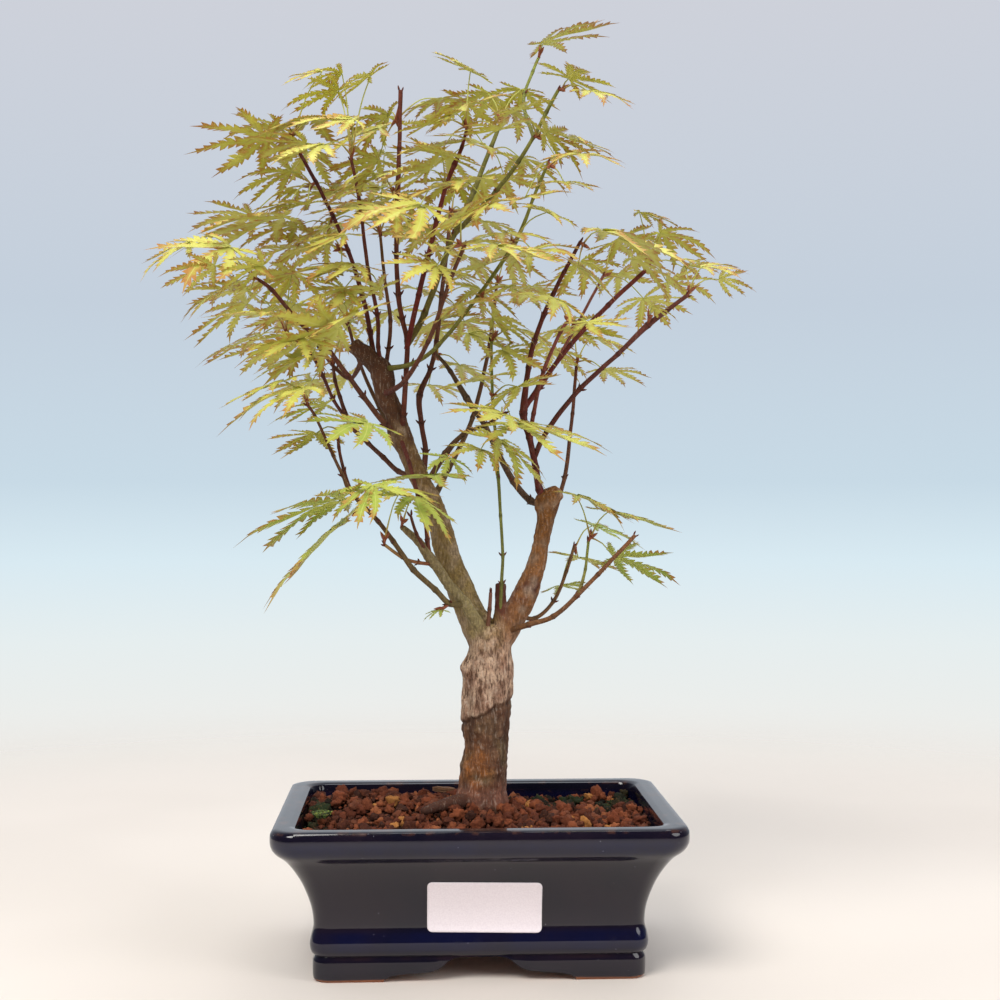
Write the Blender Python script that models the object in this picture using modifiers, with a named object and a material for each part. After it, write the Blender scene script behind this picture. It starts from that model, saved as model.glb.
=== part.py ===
"""A small cut-leaf maple bonsai in a glazed oblong pot: pot, drain grids, soil, wood and leafy shoots."""

import math
import random

import bmesh
import bpy
from mathutils import Matrix, Vector, noise
from mathutils.bvhtree import BVHTree

# ------------------------------------------------------------------ driving dimensions (mm)
RIM_LENGTH, RIM_WIDTH, RIM_HEIGHT = 194.0, 142.0, 73.5
RIM_CORNER = 12.0  # corner radius of the rim seen from above
FLOOR_UNDER, FLOOR_TOP = 12.4, 18.0
ARCH_TOP = 11.4  # height of the cut-outs between the feet
ARCH_HALF = 45.0  # half width of the front cut-out at the ground
DRAIN_RADIUS = 8.0
DRAIN_X = RIM_LENGTH * .1856  # each drain hole's distance from the middle
GRID_SIZE, GRID_THICK, GRID_HOLES = 28.0, 1.2, 4
GAP = 0.0003  # clearance between pieces, metres
LABEL_WIDTH, LABEL_LOW, LABEL_HIGH, LABEL_THICK, LABEL_X = 53.5, 23.0, 47.5, 0.4, 2.0
SHIFT_X, SHIFT_Y = 14.0, -6.0  # the crown leans left and back, so the pot stands right and forward of the centre
BUD, STALK = 0.0011, 0.0005  # radii of a shoot's bud and of a leaf stalk, metres
LEAF_SCALE = 1.08
SEED = 7

# ------------------------------------------------------------------ the tree's front elevation
# Points of the tree are (x, z, y, radius) in millimetres. x and z are read on the front elevation
# through the pot's centre; y is the depth behind it. The elevation is a view from EYE, so at()
# carries a point out along its sight line to its own depth.
EYE = (-26.7, -804.3, 224.0)
TREE = {
    "trunk": [(2.5, 64, 0, 11.8), (2.5, 72, 0, 13.6), (2.5, 77, 0, 13), (2.6, 82, 0, 12.2),
              (3.4, 89, 0, 11.8), (4.9, 101.5, 0, 11), (4.3, 113, 0, 12), (5.4, 127, 0, 12.4),
              (6.1, 141, 0, 12), (6.8, 151, 0, 10.6), (7.5, 161, 0, 8.5)],
    "root": [(0, 73.5, -6, 4.5), (-9, 74.5, -14, 3.4), (-17, 72.5, -21, 2.8), (-27, 69.5, -27, 2)],
    "left": [(5, 150, 0, 8), (1.5, 159, 1, 7.8), (-6, 175, 3, 6.9), (-14, 196, 6, 6.2), (-19.5, 216, 8, 5.6),
             (-28.5, 236, 10, 5.1), (-34, 248, 10, 5), (-38.5, 258, 9, 5.8), (-40.5, 267, 9, 4.9),
             (-45, 277, 8, 5.2), (-47, 288, 8, 6), (-52, 294, 8, 5), (-61.5, 302, 8, 4)],
    "right": [(8, 152, 0, 8), (14, 160, 0, 7.4), (19.5, 168, 0, 6.4), (25, 179, -1, 6.1), (29.5, 191, -2, 4.7),
              (32.5, 204, -2, 4.1), (34.5, 215, -2, 4.4), (35, 224, -2, 5.9), (41.5, 229, -3, 3.6)],
    "stub_a": [(10.5, 155, -3, 3), (12, 168, -3, 2.3), (12, 183, -3, 2.1)],
    "stub_b": [(5, 155, -6, 1.5), (6.5, 170, -7, 1.1), (7, 178.5, -7, 1)],
    "thread": [(12, 170, -5, 1.1), (12.5, 183, -6, 1), (13, 197, -6, .9), (12, 217, -5, .9), (10.8, 236, -4, 1),
               (9.5, 256, -4, .9), (8, 276, -4, .9), (7.5, 304, -3, .8)],
    "side": [(5, 153, -3, 4), (0, 164, -6, 3.2), (-6.5, 174, -8, 2.9), (-14, 182.5, -10, 2.6),
             (-19, 190, -11, 2.7), (-23, 195.5, -12, 2.8), (-29, 204, -13, 2.1), (-37.5, 211.5, -14, 1.7)],
    "side_red": [(-23, 195.5, -12, 1.4), (-24.5, 204, -13, 1.2), (-25.5, 214, -12, 1.2), (-29, 226, -9, 1.2),
                 (-33.5, 243, -2, 1.2), (-38, 256, 6, 1.3)],
    "side_bit": [(-24, 197, -12, 1.1), (-30, 208, -17, .9), (-33, 217, -20, .8)],
    "arch": [(-21, 192.5, -11, 1.2), (-29, 193.5, -17, 1), (-37, 196, -25, 1), (-46, 202.5, -33, .9)],
    "low": [(-6, 173, -8, 2.4), (-13.5, 173, -14, 2.3), (-20.5, 180, -19, 2.2), (-31.5, 190, -24, 2.2),
            (-41.5, 204, -29, 1.9), (-49, 214, -33, 1.7), (-62.5, 229, -38, 1.9), (-66.5, 237, -40, 1.4),
            (-71.5, 247, -42, 1.2), (-80, 266, -46, 1.1), (-84, 272, -47, 1.3)],
    "low_b": [(-62.5, 229, -38, 1.3), (-66, 239, -35, 1.1), (-68.5, 251, -31, 1), (-69, 258, -29, .9)],
    "knob_left": [(-38.5, 258, 9, 2), (-45, 262, 3, 1.6), (-56.5, 276.5, -6, 1.5), (-64, 286.5, -11, 1.4),
                  (-76.5, 303, -18, 1.3), (-89, 314, -24, 1.2), (-101.5, 329, -29, 1.1), (-108, 334, -31, 1)],
    "mast": [(-38, 259, 9, 2), (-36.5, 267, 3, 1.6), (-35, 291, 0, 1.5), (-34.7, 304, -1, 1.5), (-37, 315, -2, 1.4),
             (-39, 327, -3, 1.5), (-40, 347, -4, 1.3), (-39.5, 373, -5, 1.7), (-38.5, 400, -6, 1.2),
             (-38, 429, -6, 1.3)],
    "d": [(-30, 236, 8, 1.8), (-39, 239, 17, 1.5), (-46.5, 246, 20, 1.4), (-54, 253, 22, 1.3), (-63, 262.5, 24, 1.6),
          (-68, 276, 27, 1.1), (-70.5, 284, 29, 1), (-71.5, 292, 31, .9)],
    "d_b": [(-63, 262.5, 24, 1.2), (-71.5, 275, 17, 1), (-76.5, 286.5, 12, 1), (-83, 298, 8, .9), (-94, 308, 2, .9)],
    "e": [(-56, 297, 8, 2), (-62, 285.5, 30, 1.2), (-70, 290, 40, 1.1), (-78, 300, 52, 1), (-83, 306, 62, .9)],
    "v1": [(-47, 291, 8, 1.6), (-49, 301, 5, 1.2), (-49.5, 317, 2, 1.2), (-54, 339, -4, 1.1), (-58.5, 374, -10, 1),
           (-62.5, 394, -14, .9)],
    "v2": [(-46, 289, 9, 1.6), (-44, 300, 16, 1.2), (-43, 314, 24, 1.2), (-46, 336, 36, 1), (-48, 356, 46, .9)],
    "v3": [(-51, 295, 8, 1.8), (-53, 308, 12, 1.4), (-57, 327, 13, 1.4), (-64, 349, 11, 1.2), (-71.5, 366, 7, 1.1),
           (-80, 383, 2, 1.1), (-89, 399, -4, 1), (-92, 405, -6, 1.2)],
    "v9": [(-45, 290, 6, 1.8), (-31.5, 293, -7, 1.3), (-19, 302, -14, 1.2), (1, 327, -20, 1.1), (19.5, 354, -24, 1.2),
           (28.5, 376, -27, .9), (36, 394, -29, .9)],
    "v5": [(-27, 236, 10, 2.2), (-25.5, 249, 18, 1.6), (-27.5, 263, 21, 1.5), (-28.5, 277, 22, 1.8),
           (-23, 290, 23, 1.4), (-20, 304, 25, 1.3), (-17.5, 327, 29, 1.3), (-15, 347, 33, 1.1), (-13, 369, 37, 1)],
    "v6": [(-35, 300, -1, 1.6), (-29, 327, -9, 1.5), (-24, 347, -14, 1.4), (-20, 364, -18, 1.3),
           (-15.5, 381, -21, 1.2), (-11, 392.5, -23, 1.4), (-7.5, 401, -24, 1), (-5, 410, -25, .9)],
    "v7": [(-34.8, 302, -1, 1.9), (-26, 318, 5, 1.8), (-11.5, 357, 12, 1.6), (-1.5, 379, 15, 1.5),
           (7, 401, 18, 1.3), (12.5, 414, 20, 1.1)],
    "v8": [(-11.5, 357, 12, 1.6), (9.5, 379, 2, 1.2), (21, 394, -3, 1.2), (28.5, 406.5, -6, 1.1), (35, 419, -9, 1.1),
           (41, 430, -11, 1)],
    "top": [(28.5, 406.5, -6, 1.2), (24.5, 418, 6, 1), (24, 428, 14, .9), (28, 439, 20, .9), (31, 446, 23, .9)],
    "a": [(35, 222, -2, 3), (31.5, 230, -4, 2.1), (29.5, 241, -6, 1.9), (26.5, 256, -8, 1.8), (23.5, 268, -9, 2.1),
          (26, 291, -14, 1.5), (29, 304, -18, 1.4), (33.5, 317, -22, 1.3), (38.5, 328, -25, 1.2), (44, 339, -28, 1.1),
          (52, 354, -32, 1)],
    "a2": [(23.8, 270, -9, 1.6), (31, 281, -3, 1.4), (47, 302.5, 6, 1.4), (66, 322.5, 15, 1.4), (86, 341, 23, 1.3)],
    "a3": [(26.8, 255, -8, 1.6), (28.5, 268, -18, 1.2), (33.5, 289, -30, 1.1), (42, 309, -40, 1), (45.5, 314, -43, 1)],
    "a3b": [(24.5, 272, -9, 1.5), (33.5, 283, 14, 1), (51, 314, 34, .9), (63.5, 337, 46, .9)],
    "a4": [(28.8, 246, -6, 1.6), (36, 260.5, -12, 1.5), (52, 280.5, -20, 1.4), (71, 298, -28, 1.3),
           (86, 312.5, -34, 1.7), (96, 320, -38, 1.2), (106, 327.5, -42, 1.2)],
    "b": [(35, 223, -2, 2.6), (27, 224.5, 8, 2), (18.5, 234, 14, 1.9), (11, 247.5, 20, 1.8), (4.5, 261.5, 25, 1.6),
          (-5, 275.5, 31, 1.9), (-13, 289, 37, 1.3), (-20.5, 298, 42, 1)],
    "f": [(-23, 236, 10, 1.8), (-15.5, 248, 2, 1.9), (-6.5, 257.5, -8, 1.3), (4, 262, -18, 1), (14, 268, -28, .9)],
    "r1": [(14, 159, -3, 2), (26, 162.5, -12, 1.6), (38.5, 166.5, -17, 1.4), (50, 176.5, -21, 1.3),
           (61, 187.5, -25, 1.2), (79.5, 207, -32, 1.1)],
    "r2": [(20, 168, 3, 1.8), (29, 165.5, 11, 1.2), (38.5, 174, 18, 1.1), (45, 189, 26, 1), (49, 202, 32, .9)],
    "r3": [(51.5, 178, -22, 1.2), (54.5, 190, -16, .8), (56, 204, -11, .8)],
    "back_l": [(-31, 242, 12, 2.2), (-38, 252, 30, 1.6), (-48, 270, 52, 1.3), (-58, 292, 70, 1.1), (-64, 312, 82, 1)],
    "back_r": [(31, 198, 0, 2), (36, 210, 20, 1.5), (44, 236, 44, 1.3), (48, 268, 62, 1.1), (50, 292, 74, 1)],
    "back_c": [(-22, 225, 12, 2.2), (-14, 240, 34, 1.6), (-2, 266, 56, 1.4), (6, 300, 72, 1.2), (10, 332, 84, 1)],
    "front_c": [(-45, 278, 3, 1.8), (-36, 284, -22, 1.4), (-24, 304, -46, 1.2), (-14, 332, -64, 1.1),
                (-6, 352, -74, 1)],
}
# Leafy shoots: where each starts on the wood, then its leaves as (x, z, y, reach of the middle lobe), with
# the way the middle lobe points (degrees from +X) and how far it dips where these matter.
SHOOTS = [
    ((-92, 405, -6), [(-89, 397, -18, 31), (-78, 415, -10, 40), (-77, 438, -4, 19), (-98, 410, 18, 28),
                      (-104, 404, 4, 34, 176, 8), (-84, 398, 24, 28)]),
    ((-62.5, 394, -14), [(-67, 437, -10, 17), (-53, 436, -22, 21), (-60, 414, -34, 27),
                         (-72, 408, -28, 28), (-48, 410, -6, 26), (-66, 422, 2, 24)]),
    ((-38, 424, -6), [(-44, 416, 16, 26), (-29, 408, -26, 27), (-50, 402, 4, 26)]),
    ((-39.5, 374, -5), [(-41, 369, -34, 34), (-30, 389, -18, 26), (-52, 388, -30, 26), (-52, 372, 18, 28),
                        (-48, 380, 4, 28), (-26, 376, 8, 26)]),
    ((-80, 383, 2), [(-89, 379, -12, 15), (-96, 365, -30, 46, 178, 6), (-112, 366, 14, 30),
                     (-92, 388, 12, 28), (-70, 378, 20, 28), (-84, 372, -22, 28)]),
    ((-108, 334, -31), [(-122, 350, -44, 33), (-137, 354, -30, 24), (-130, 341, -60, 22),
                        (-106, 341, -52, 22), (-120, 332, -18, 26), (-114, 322, -40, 28)]),
    ((-94, 308, 2), [(-114, 329, 4, 28), (-104, 317, -24, 30), (-92, 337, 18, 24), (-108, 306, 12, 28),
                     (-90, 322, 26, 26)]),
    ((-64, 349, 11), [(-86, 350, 18, 28), (-74, 353, 32, 28), (-67, 340, -8, 27), (-56, 359, -10, 26)]),
    ((-76.5, 303, -18), [(-69, 310, -46, 40, 190, 12), (-82, 296, -40, 26), (-58, 318, -58, 28),
                         (-88, 306, -42, 28)]),
    ((-83, 306, 62), [(-88, 322, 72, 32), (-70, 314, 88, 30), (-98, 300, 52, 28), (-96, 316, 62, 26)]),
    ((-84, 272, -47), [(-86, 280, -62, 34), (-75, 272, -36, 22), (-96, 284, -48, 28)]),
    ((-71.5, 292, 31), [(-62, 314, 28, 24), (-82, 284, 40, 28), (-84, 304, 22, 26), (-70, 300, 46, 26)]),
    ((-69, 258, -29), [(-55, 264, -48, 30), (-80, 258, -18, 26)]),
    ((-62.5, 229, -38), [(-67, 225, -52, 46, 197, 14), (-52, 232, -62, 26, 250, 30)]),
    ((-56, 221, -35), [(-68, 213, -34, 46, 205, 40)]),
    ((-46, 202.5, -33), [(-45, 224, -40, 23)]),
    ((-37.5, 211.5, -14), [(-33, 226, -30, 29)]),
    ((-15.5, 248, 2), [(-21, 237, -22, 34), (-14, 246, -12, 18)]),
    ((-13, 173, -14), [(-18, 170, -17, 9)]),
    ((-5, 410, -25), [(-10, 418, -32, 27), (-24, 412, -44, 24), (-3, 439, -22, 22), (12, 410, -46, 26),
                      (-16, 402, -18, 26), (4, 402, -30, 26)]),
    ((-15.5, 381, -21), [(-6, 384, -46, 32), (-28, 372, -60, 30), (-24, 390, -38, 26), (6, 372, -64, 26),
                         (-18, 398, -54, 26)]),
    ((12.5, 414, 20), [(6, 428, 26, 22), (16, 420, 38, 28), (-6, 424, 44, 26), (22, 430, 26, 24)]),
    ((31, 446, 23), [(33, 453, 20, 34, -8, -22)]),
    ((41, 430, -11), [(46, 436, -16, 26), (56, 430, -30, 22)]),
    ((28.5, 406.5, -6), [(34, 408, -24, 25), (40, 396, -10, 24), (22, 420, -30, 22), (46, 406, 2, 24)]),
    ((36, 394, -29), [(44, 384, -38, 20), (24, 376, -44, 22), (52, 398, -46, 24)]),
    ((7, 401, 18), [(2, 386, 30, 26), (22, 396, 40, 28), (-14, 396, 50, 30), (14, 386, 42, 26)]),
    ((19.5, 354, -24), [(36, 368, -22, 22), (-4, 353, -38, 27), (14, 358, -52, 26), (28, 350, -40, 26),
                        (4, 342, -24, 24)]),
    ((52, 354, -32), [(62, 360, -44, 44, 5, 8), (51, 341, -36, 22)]),
    ((86, 341, 23), [(82, 369, 24, 20), (92, 359, 14, 27), (104, 342, 34, 19), (72, 356, 40, 28),
                     (96, 334, 38, 24), (78, 346, 10, 26)]),
    ((106, 327.5, -42), [(113, 342, -46, 19), (122, 336, -34, 15), (104, 346, -28, 16)]),
    ((86, 312.5, -34), [(88, 322, -44, 12)]),
    ((63.5, 337, 46), [(71, 338, 54, 26), (52, 344, 62, 28), (84, 326, 60, 26), (74, 352, 52, 26)]),
    ((1, 327, -20), [(16, 332, -30, 20), (26, 327, -46, 18), (-10, 326, -40, 26)]),
    ((-13, 369, 37), [(-8, 370, 52, 30), (-26, 362, 56, 28), (4, 364, 34, 26), (-10, 384, 46, 26)]),
    ((-17.5, 327, 29), [(-6, 314, 40, 27), (-30, 330, 48, 28), (2, 330, 44, 26), (-20, 314, 36, 28),
                        (-18, 340, 36, 26)]),
    ((45.5, 314, -43), [(56, 314, -54, 22), (38, 326, -60, 24)]),
    ((51, 314, 34), [(40, 310, 46, 24)]),
    ((7.5, 304, -3), [(14, 301, -14, 24), (-4, 308, 6, 26), (8, 316, -12, 24), (22, 310, 0, 22)]),
    ((8, 276, -4), [(12, 288, -22, 30), (18, 272, -16, 46, 0, 10), (-2, 284, -30, 26)]),
    ((9.5, 256, -4), [(11, 256, -14, 32, -60, 30), (2, 250, -20, 22)]),
    ((14, 268, -28), [(4, 266, -44, 32)]),
    ((-20.5, 298, 42), [(-8, 292, 56, 28), (-24, 282, 54, 24), (-14, 306, 56, 26)]),
    ((56, 204, -11), [(50, 227, -12, 26), (66, 219, -18, 32, 5, 12), (69, 196, -10, 31, -5, 10)]),
    ((49, 202, 32), [(51, 196, 40, 27), (42, 182, 36, 17), (58, 212, 48, 26)]),
    ((-64, 312, 82), [(-58, 330, 92, 32), (-78, 328, 76, 28), (-44, 318, 78, 26), (-70, 318, 92, 28)]),
    ((50, 292, 74), [(58, 306, 82, 30), (38, 300, 64, 26), (64, 290, 58, 24), (48, 312, 82, 26)]),
    ((10, 332, 84), [(16, 348, 92, 30), (-4, 346, 78, 28), (28, 330, 74, 26)]),
    ((-6, 352, -74), [(-8, 366, -84, 30), (10, 352, -86, 26), (-24, 352, -66, 28), (-20, 342, -78, 26)]),
    ((-54, 339, -4), [(-62, 342, -24, 28), (-48, 330, -20, 26), (-66, 330, -14, 26)]),
    ((-71.5, 366, 7), [(-62, 366, 24, 28), (-84, 356, 16, 28), (-74, 362, -12, 28)]),
    ((-48, 356, 46), [(-52, 374, 56, 32), (-66, 362, 66, 26), (-36, 380, 48, 28), (-46, 398, 40, 26),
                      (-60, 386, 42, 28), (-38, 362, 60, 26)]),
]
LOBES = ((0, 1.0), (33, .93), (68, .76), (112, .5))
SMALL = 22.0  # a leaf shorter than this in mm has five lobes


def at(x, z, y):
    """The point in metres that lies y behind the elevation, on the sight line through (x, z)."""
    far = (y - EYE[1]) / -EYE[1]
    lift = RIM_HEIGHT - 73.5
    return Vector((EYE[0] + (x - EYE[0]) * far, y, EYE[2] + (z - EYE[2]) * far + lift)) / 1000


def surfaces(points, faces):
    return BVHTree.FromPolygons(points, faces)


def rod_faces(points, radius):
    """A light three-sided rod through the points, for clearance tests only."""
    corners, faces = [], []
    for i, point in enumerate(points):
        ahead = points[min(i + 1, len(points) - 1)] - points[max(i - 1, 0)]
        turn = ahead.to_track_quat("Z", "Y")
        for k in range(3):
            angle = k * math.tau / 3
            corners.append(point + turn @ Vector((math.cos(angle), math.sin(angle), 0)) * radius)
        if i:
            for k in range(3):
                a, b = 3 * (i - 1) + k, 3 * (i - 1) + (k + 1) % 3
                faces.append((a, b, b + 3, a + 3))
    faces += [(0, 1, 2), tuple(len(corners) - 3 + k for k in (2, 1, 0))]
    return corners, faces


def leaf_frame(hub, heading, tilt, roll):
    """+X runs along the middle lobe and +Z is the leaf's upper side."""
    turn = Matrix.Rotation(heading, 4, "Z") @ Matrix.Rotation(tilt, 4, "Y") @ Matrix.Rotation(roll, 4, "X")
    return Matrix.Translation(hub) @ turn


def leaf_rim(reach, droop, tip=1.0):
    """Seven or five lobe tips with a notch after each, as (x, y, z) about the hub."""
    half = LOBES[:3] if reach < SMALL / 1000 else LOBES
    lobes = [(-a, r) for a, r in reversed(half[1:])] + list(half)
    rim = []
    for i, (angle, length) in enumerate(lobes):
        after = lobes[i + 1][0] if i + 1 < len(lobes) else 360 + lobes[0][0]
        notch = .3 if i + 1 < len(lobes) else .1
        for turn, r in ((angle, length * tip), ((angle + after) / 2, notch)):
            turn = math.radians(turn)
            rim.append(Vector((math.cos(turn) * r, math.sin(turn) * r, -droop * r * r)) * reach)
    return rim


def stalk(start, hub, bow):
    """A leaf stalk: it leaves the shoot steeply and bends over into the hub."""
    lift = Vector((0, 0, 1)) * (hub - start).length * bow
    return [start, start.lerp(hub, .5) + lift, hub]


def place_leaves(obstacles):
    """Finds each shoot's bud and leaves a free place; returns [(bud, [(hub matrix, reach, droop, stalk)])]."""
    rng = random.Random(SEED)
    shoots = []
    for start, leaves in SHOOTS:
        origin = at(*start)
        middle = sum((at(*leaf[:3]) for leaf in leaves), Vector()) / len(leaves)
        out = (middle - origin).normalized()
        for step in range(1, 60):
            bud = origin + out * (BUD + GAP + step * .0004)
            corners, faces = rod_faces([bud - out * .0016, bud + out * .0016], BUD * 1.5 + GAP)
            if not any(surfaces(corners, faces).overlap(tree) for tree in obstacles):
                break
        own, placed, reserve = [], [], []
        for x, z, y, reach, *pose in leaves:
            aim = at(x, z, y)
            side = Vector((aim.x, aim.y, 0)) + Vector((out.x, out.y, 0)) * .06
            base = math.atan2(side.y, side.x) + rng.uniform(-.6, .6)
            lean, roll, droop = rng.uniform(-.1, .36), rng.uniform(-.5, .5), rng.uniform(.08, .3)
            if pose:
                base, lean = math.radians(pose[0]), math.radians(pose[1])
            found = None
            for k in range(48):
                shift = Vector((rng.uniform(-1, 1), rng.uniform(-1, 1) * 1.7, rng.uniform(-1, 1))) * .0012 * k
                spin = rng.uniform(-.05, .05) * k
                size = reach * LEAF_SCALE / 1000 * (1 - .006 * k)
                hub = aim + shift
                frame = leaf_frame(hub, base + spin, lean, roll)
                rim = leaf_rim(size, droop, 1.04)
                corners = [frame @ p for p in rim] + [frame @ Vector((0, 0, .0014)), frame @ Vector((0, 0, -.0012))]
                n = len(rim)
                faces = [(i, (i + 1) % n, n) for i in range(n)] + [((i + 1) % n, i, n + 1) for i in range(n)]
                path = stalk(bud, frame @ Vector((0, 0, -.0004)), .12)
                rod, walls = rod_faces(path, STALK + GAP)
                corners += rod
                faces += [tuple(c + n + 2 for c in wall) for wall in walls]
                tree = surfaces(corners, faces)
                if not any(tree.overlap(other) for other in obstacles):
                    found = (frame, size, droop, path)
                    own.append(tree)
                    break
            if found:
                placed.append(found)
        if placed:
            obstacles += own
            corners, faces = rod_faces([bud - out * .0012, bud + out * .0016], BUD + GAP)
            obstacles.append(surfaces(corners, faces))
            shoots.append((bud, out, placed))
    return shoots


# ------------------------------------------------------------------ helpers
for obj in list(bpy.data.objects):
    bpy.data.objects.remove(obj)
HOME = bpy.data.collections.new("bonsai_tree")
TOOLS = bpy.data.collections.new("bonsai_cutters")
bpy.context.scene.collection.children.link(HOME)
bpy.context.scene.collection.children.link(TOOLS)
TOOLS.hide_render = True
STAND = bpy.data.objects.new("bonsai", None)
HOME.objects.link(STAND)
STAND.location = (SHIFT_X / 1000, SHIFT_Y / 1000, 0)


def material(name, colour, rough, coat=0.0):
    made = bpy.data.materials.new(name)
    made.use_nodes = True
    shader = made.node_tree.nodes["Principled BSDF"]
    shader.inputs["Base Color"].default_value = (*colour, 1)
    shader.inputs["Roughness"].default_value = rough
    shader.inputs["Coat Weight"].default_value = coat
    made.diffuse_color = (*colour, 1)
    return made


def piece(name, mesh, look):
    obj = bpy.data.objects.new(name, mesh)
    HOME.objects.link(obj)
    obj.parent = STAND
    obj.data.materials.clear()
    obj.data.materials.append(look)
    return obj


def helper(name, mesh):
    obj = bpy.data.objects.new(name, mesh)
    TOOLS.objects.link(obj)
    obj.parent = STAND
    obj.hide_render = True
    obj.display_type = "WIRE"
    return obj


def finished(work, name):
    """A bmesh made into a mesh with its faces turned outwards."""
    bmesh.ops.recalc_face_normals(work, faces=work.faces)
    mesh = bpy.data.meshes.new(name)
    work.to_mesh(mesh)
    work.free()
    return mesh


def boolean(obj, others, operation, self_cut=False):
    if isinstance(others, bpy.types.Collection):
        cut = obj.modifiers.new(operation.lower(), "BOOLEAN")
        cut.operand_type, cut.collection = "COLLECTION", others
    else:
        cut = obj.modifiers.new(operation.lower(), "BOOLEAN")
        cut.object = others
    cut.operation, cut.solver, cut.use_self = operation, "EXACT", self_cut


def baked(obj):
    """The object's mesh with its modifiers applied."""
    bpy.context.view_layer.update()
    graph = bpy.context.evaluated_depsgraph_get()
    return bpy.data.meshes.new_from_object(obj.evaluated_get(graph))


def welded(mesh, distance=1e-6):
    work = bmesh.new()
    work.from_mesh(mesh)
    bmesh.ops.remove_doubles(work, verts=work.verts, dist=distance)
    return finished(work, mesh.name)


# ------------------------------------------------------------------ pot
def outline(inset, segments=32):
    """Points round a rounded oblong that lies inset inside the rim, in mm."""
    half_x, half_y = RIM_LENGTH / 2 - inset, RIM_WIDTH / 2 - inset
    corner = max(RIM_CORNER - inset * .25, 4)
    points = []
    per = segments // 4
    for quarter in range(4):
        cx = (half_x - corner) * (1 if quarter in (0, 3) else -1)
        cy = (half_y - corner) * (1 if quarter in (0, 1) else -1)
        steps = per - 3
        for i in range(steps + 1):
            angle = math.radians(90 * quarter + 90 * i / steps)
            points.append((cx + corner * math.cos(angle), cy + corner * math.sin(angle)))
        ends = points[-1]
        span = half_x if quarter % 2 == 0 else half_y
        for k in (1, 2):
            share = span * 2 - corner * 2
            step = share * k / 3
            points.append((ends[0] - step, ends[1]) if quarter == 0 else
                          (ends[0], ends[1] - step) if quarter == 1 else
                          (ends[0] + step, ends[1]) if quarter == 2 else (ends[0], ends[1] + step))
    return points


def loft(rings, name):
    """Carries a capped circle up through (inset, z) rings and caps the last one."""
    work = bmesh.new()
    first = outline(rings[0][0])
    made = bmesh.ops.create_circle(work, segments=len(first), radius=1, cap_ends=True)
    verts = made["verts"]
    for vert, (x, y) in zip(verts, first):
        vert.co = (x / 1000, y / 1000, rings[0][1] / 1000)
    loop = [e for e in work.edges if e.is_boundary]
    for inset, z in rings[1:]:
        grown = bmesh.ops.extrude_edge_only(work, edges=loop)["geom"]
        pairs = {}
        new = [v for v in grown if isinstance(v, bmesh.types.BMVert)]
        loop = [e for e in grown if isinstance(e, bmesh.types.BMEdge) and e.is_boundary]
        for edge in loop:
            for vert in edge.verts:
                pairs.setdefault(vert, None)
        aims = outline(inset)
        order = {}
        for vert in new:
            for edge in vert.link_edges:
                other = edge.other_vert(vert)
                if other in verts and other not in new:
                    order[vert] = verts.index(other)
        verts = sorted(new, key=order.get)
        for vert, (x, y) in zip(verts, aims):
            vert.co = (x / 1000, y / 1000, z / 1000)
    bmesh.ops.holes_fill(work, edges=loop)
    return finished(work, name)


WALL = [(20.0, 0), (18.8, 1.4), (18.7, 10.2), (19.7, 11.8), (18.1, 13.4), (17.3, 17.4), (18.2, 22.4), (19, 26),
        (18, 34.5), (14.4, 45), (10.4, 52.5), (6.4, 58), (2.0, 62), (0, 66), (0, 71.4), (.9, 73)]
LIP = [(2.4, 73.5), (9.0, 73.5), (10.8, 72.7), (11.6, 70.5)]
INSIDE = [(12.4, 61), (16.5, 51), (22.5, 36), (24.5, 24), (27.2, FLOOR_TOP)]


def raised(z):
    """A height above the foot moves with the rim's height."""
    return z if z <= 20 else 20 + (z - 20) * (RIM_HEIGHT - 20) / 53.5


def lifted(rings):
    return [(inset, raised(z)) for inset, z in rings]


def arch(name, half, depth, turn):
    """An ogee cutter: a flat curve with depth, stood across the foot."""
    curve = bpy.data.curves.new(name, "CURVE")
    curve.dimensions, curve.fill_mode = "2D", "BOTH"
    curve.extrude = depth / 1000
    spline = curve.splines.new("POLY")
    share = half / 45
    side = [(46, -2), (44, 1.6), (38, 3.6), (22, 4.8), (18, 6.6), (14.5, 9.4), (11.5, ARCH_TOP)]
    shape = [(x * share, z) for x, z in side] + [(-x * share, z) for x, z in reversed(side)]
    spline.points.add(len(shape) - 1)
    for point, (x, z) in zip(spline.points, shape):
        point.co = (x / 1000, z / 1000, 0, 1)
    spline.use_cyclic_u = True
    guide = helper(name + "_guide", curve)
    mesh = welded(baked(guide))
    bpy.data.objects.remove(guide)
    cutter = helper(name, mesh)
    cutter.rotation_euler = (math.pi / 2, 0, turn)
    return cutter


def block(name, size, centre):
    work = bmesh.new()
    bmesh.ops.create_cube(work, size=1)
    bmesh.ops.scale(work, vec=[s / 1000 for s in size], verts=work.verts)
    cutter = helper(name, finished(work, name))
    cutter.location = [c / 1000 for c in centre]
    return cutter


def drum(name, radius, height, centre, segments=20):
    work = bmesh.new()
    bmesh.ops.create_cone(work, cap_ends=True, segments=segments, radius1=radius / 1000,
                          radius2=radius / 1000, depth=height / 1000)
    cutter = helper(name, finished(work, name))
    cutter.location = [c / 1000 for c in centre]
    return cutter


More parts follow.
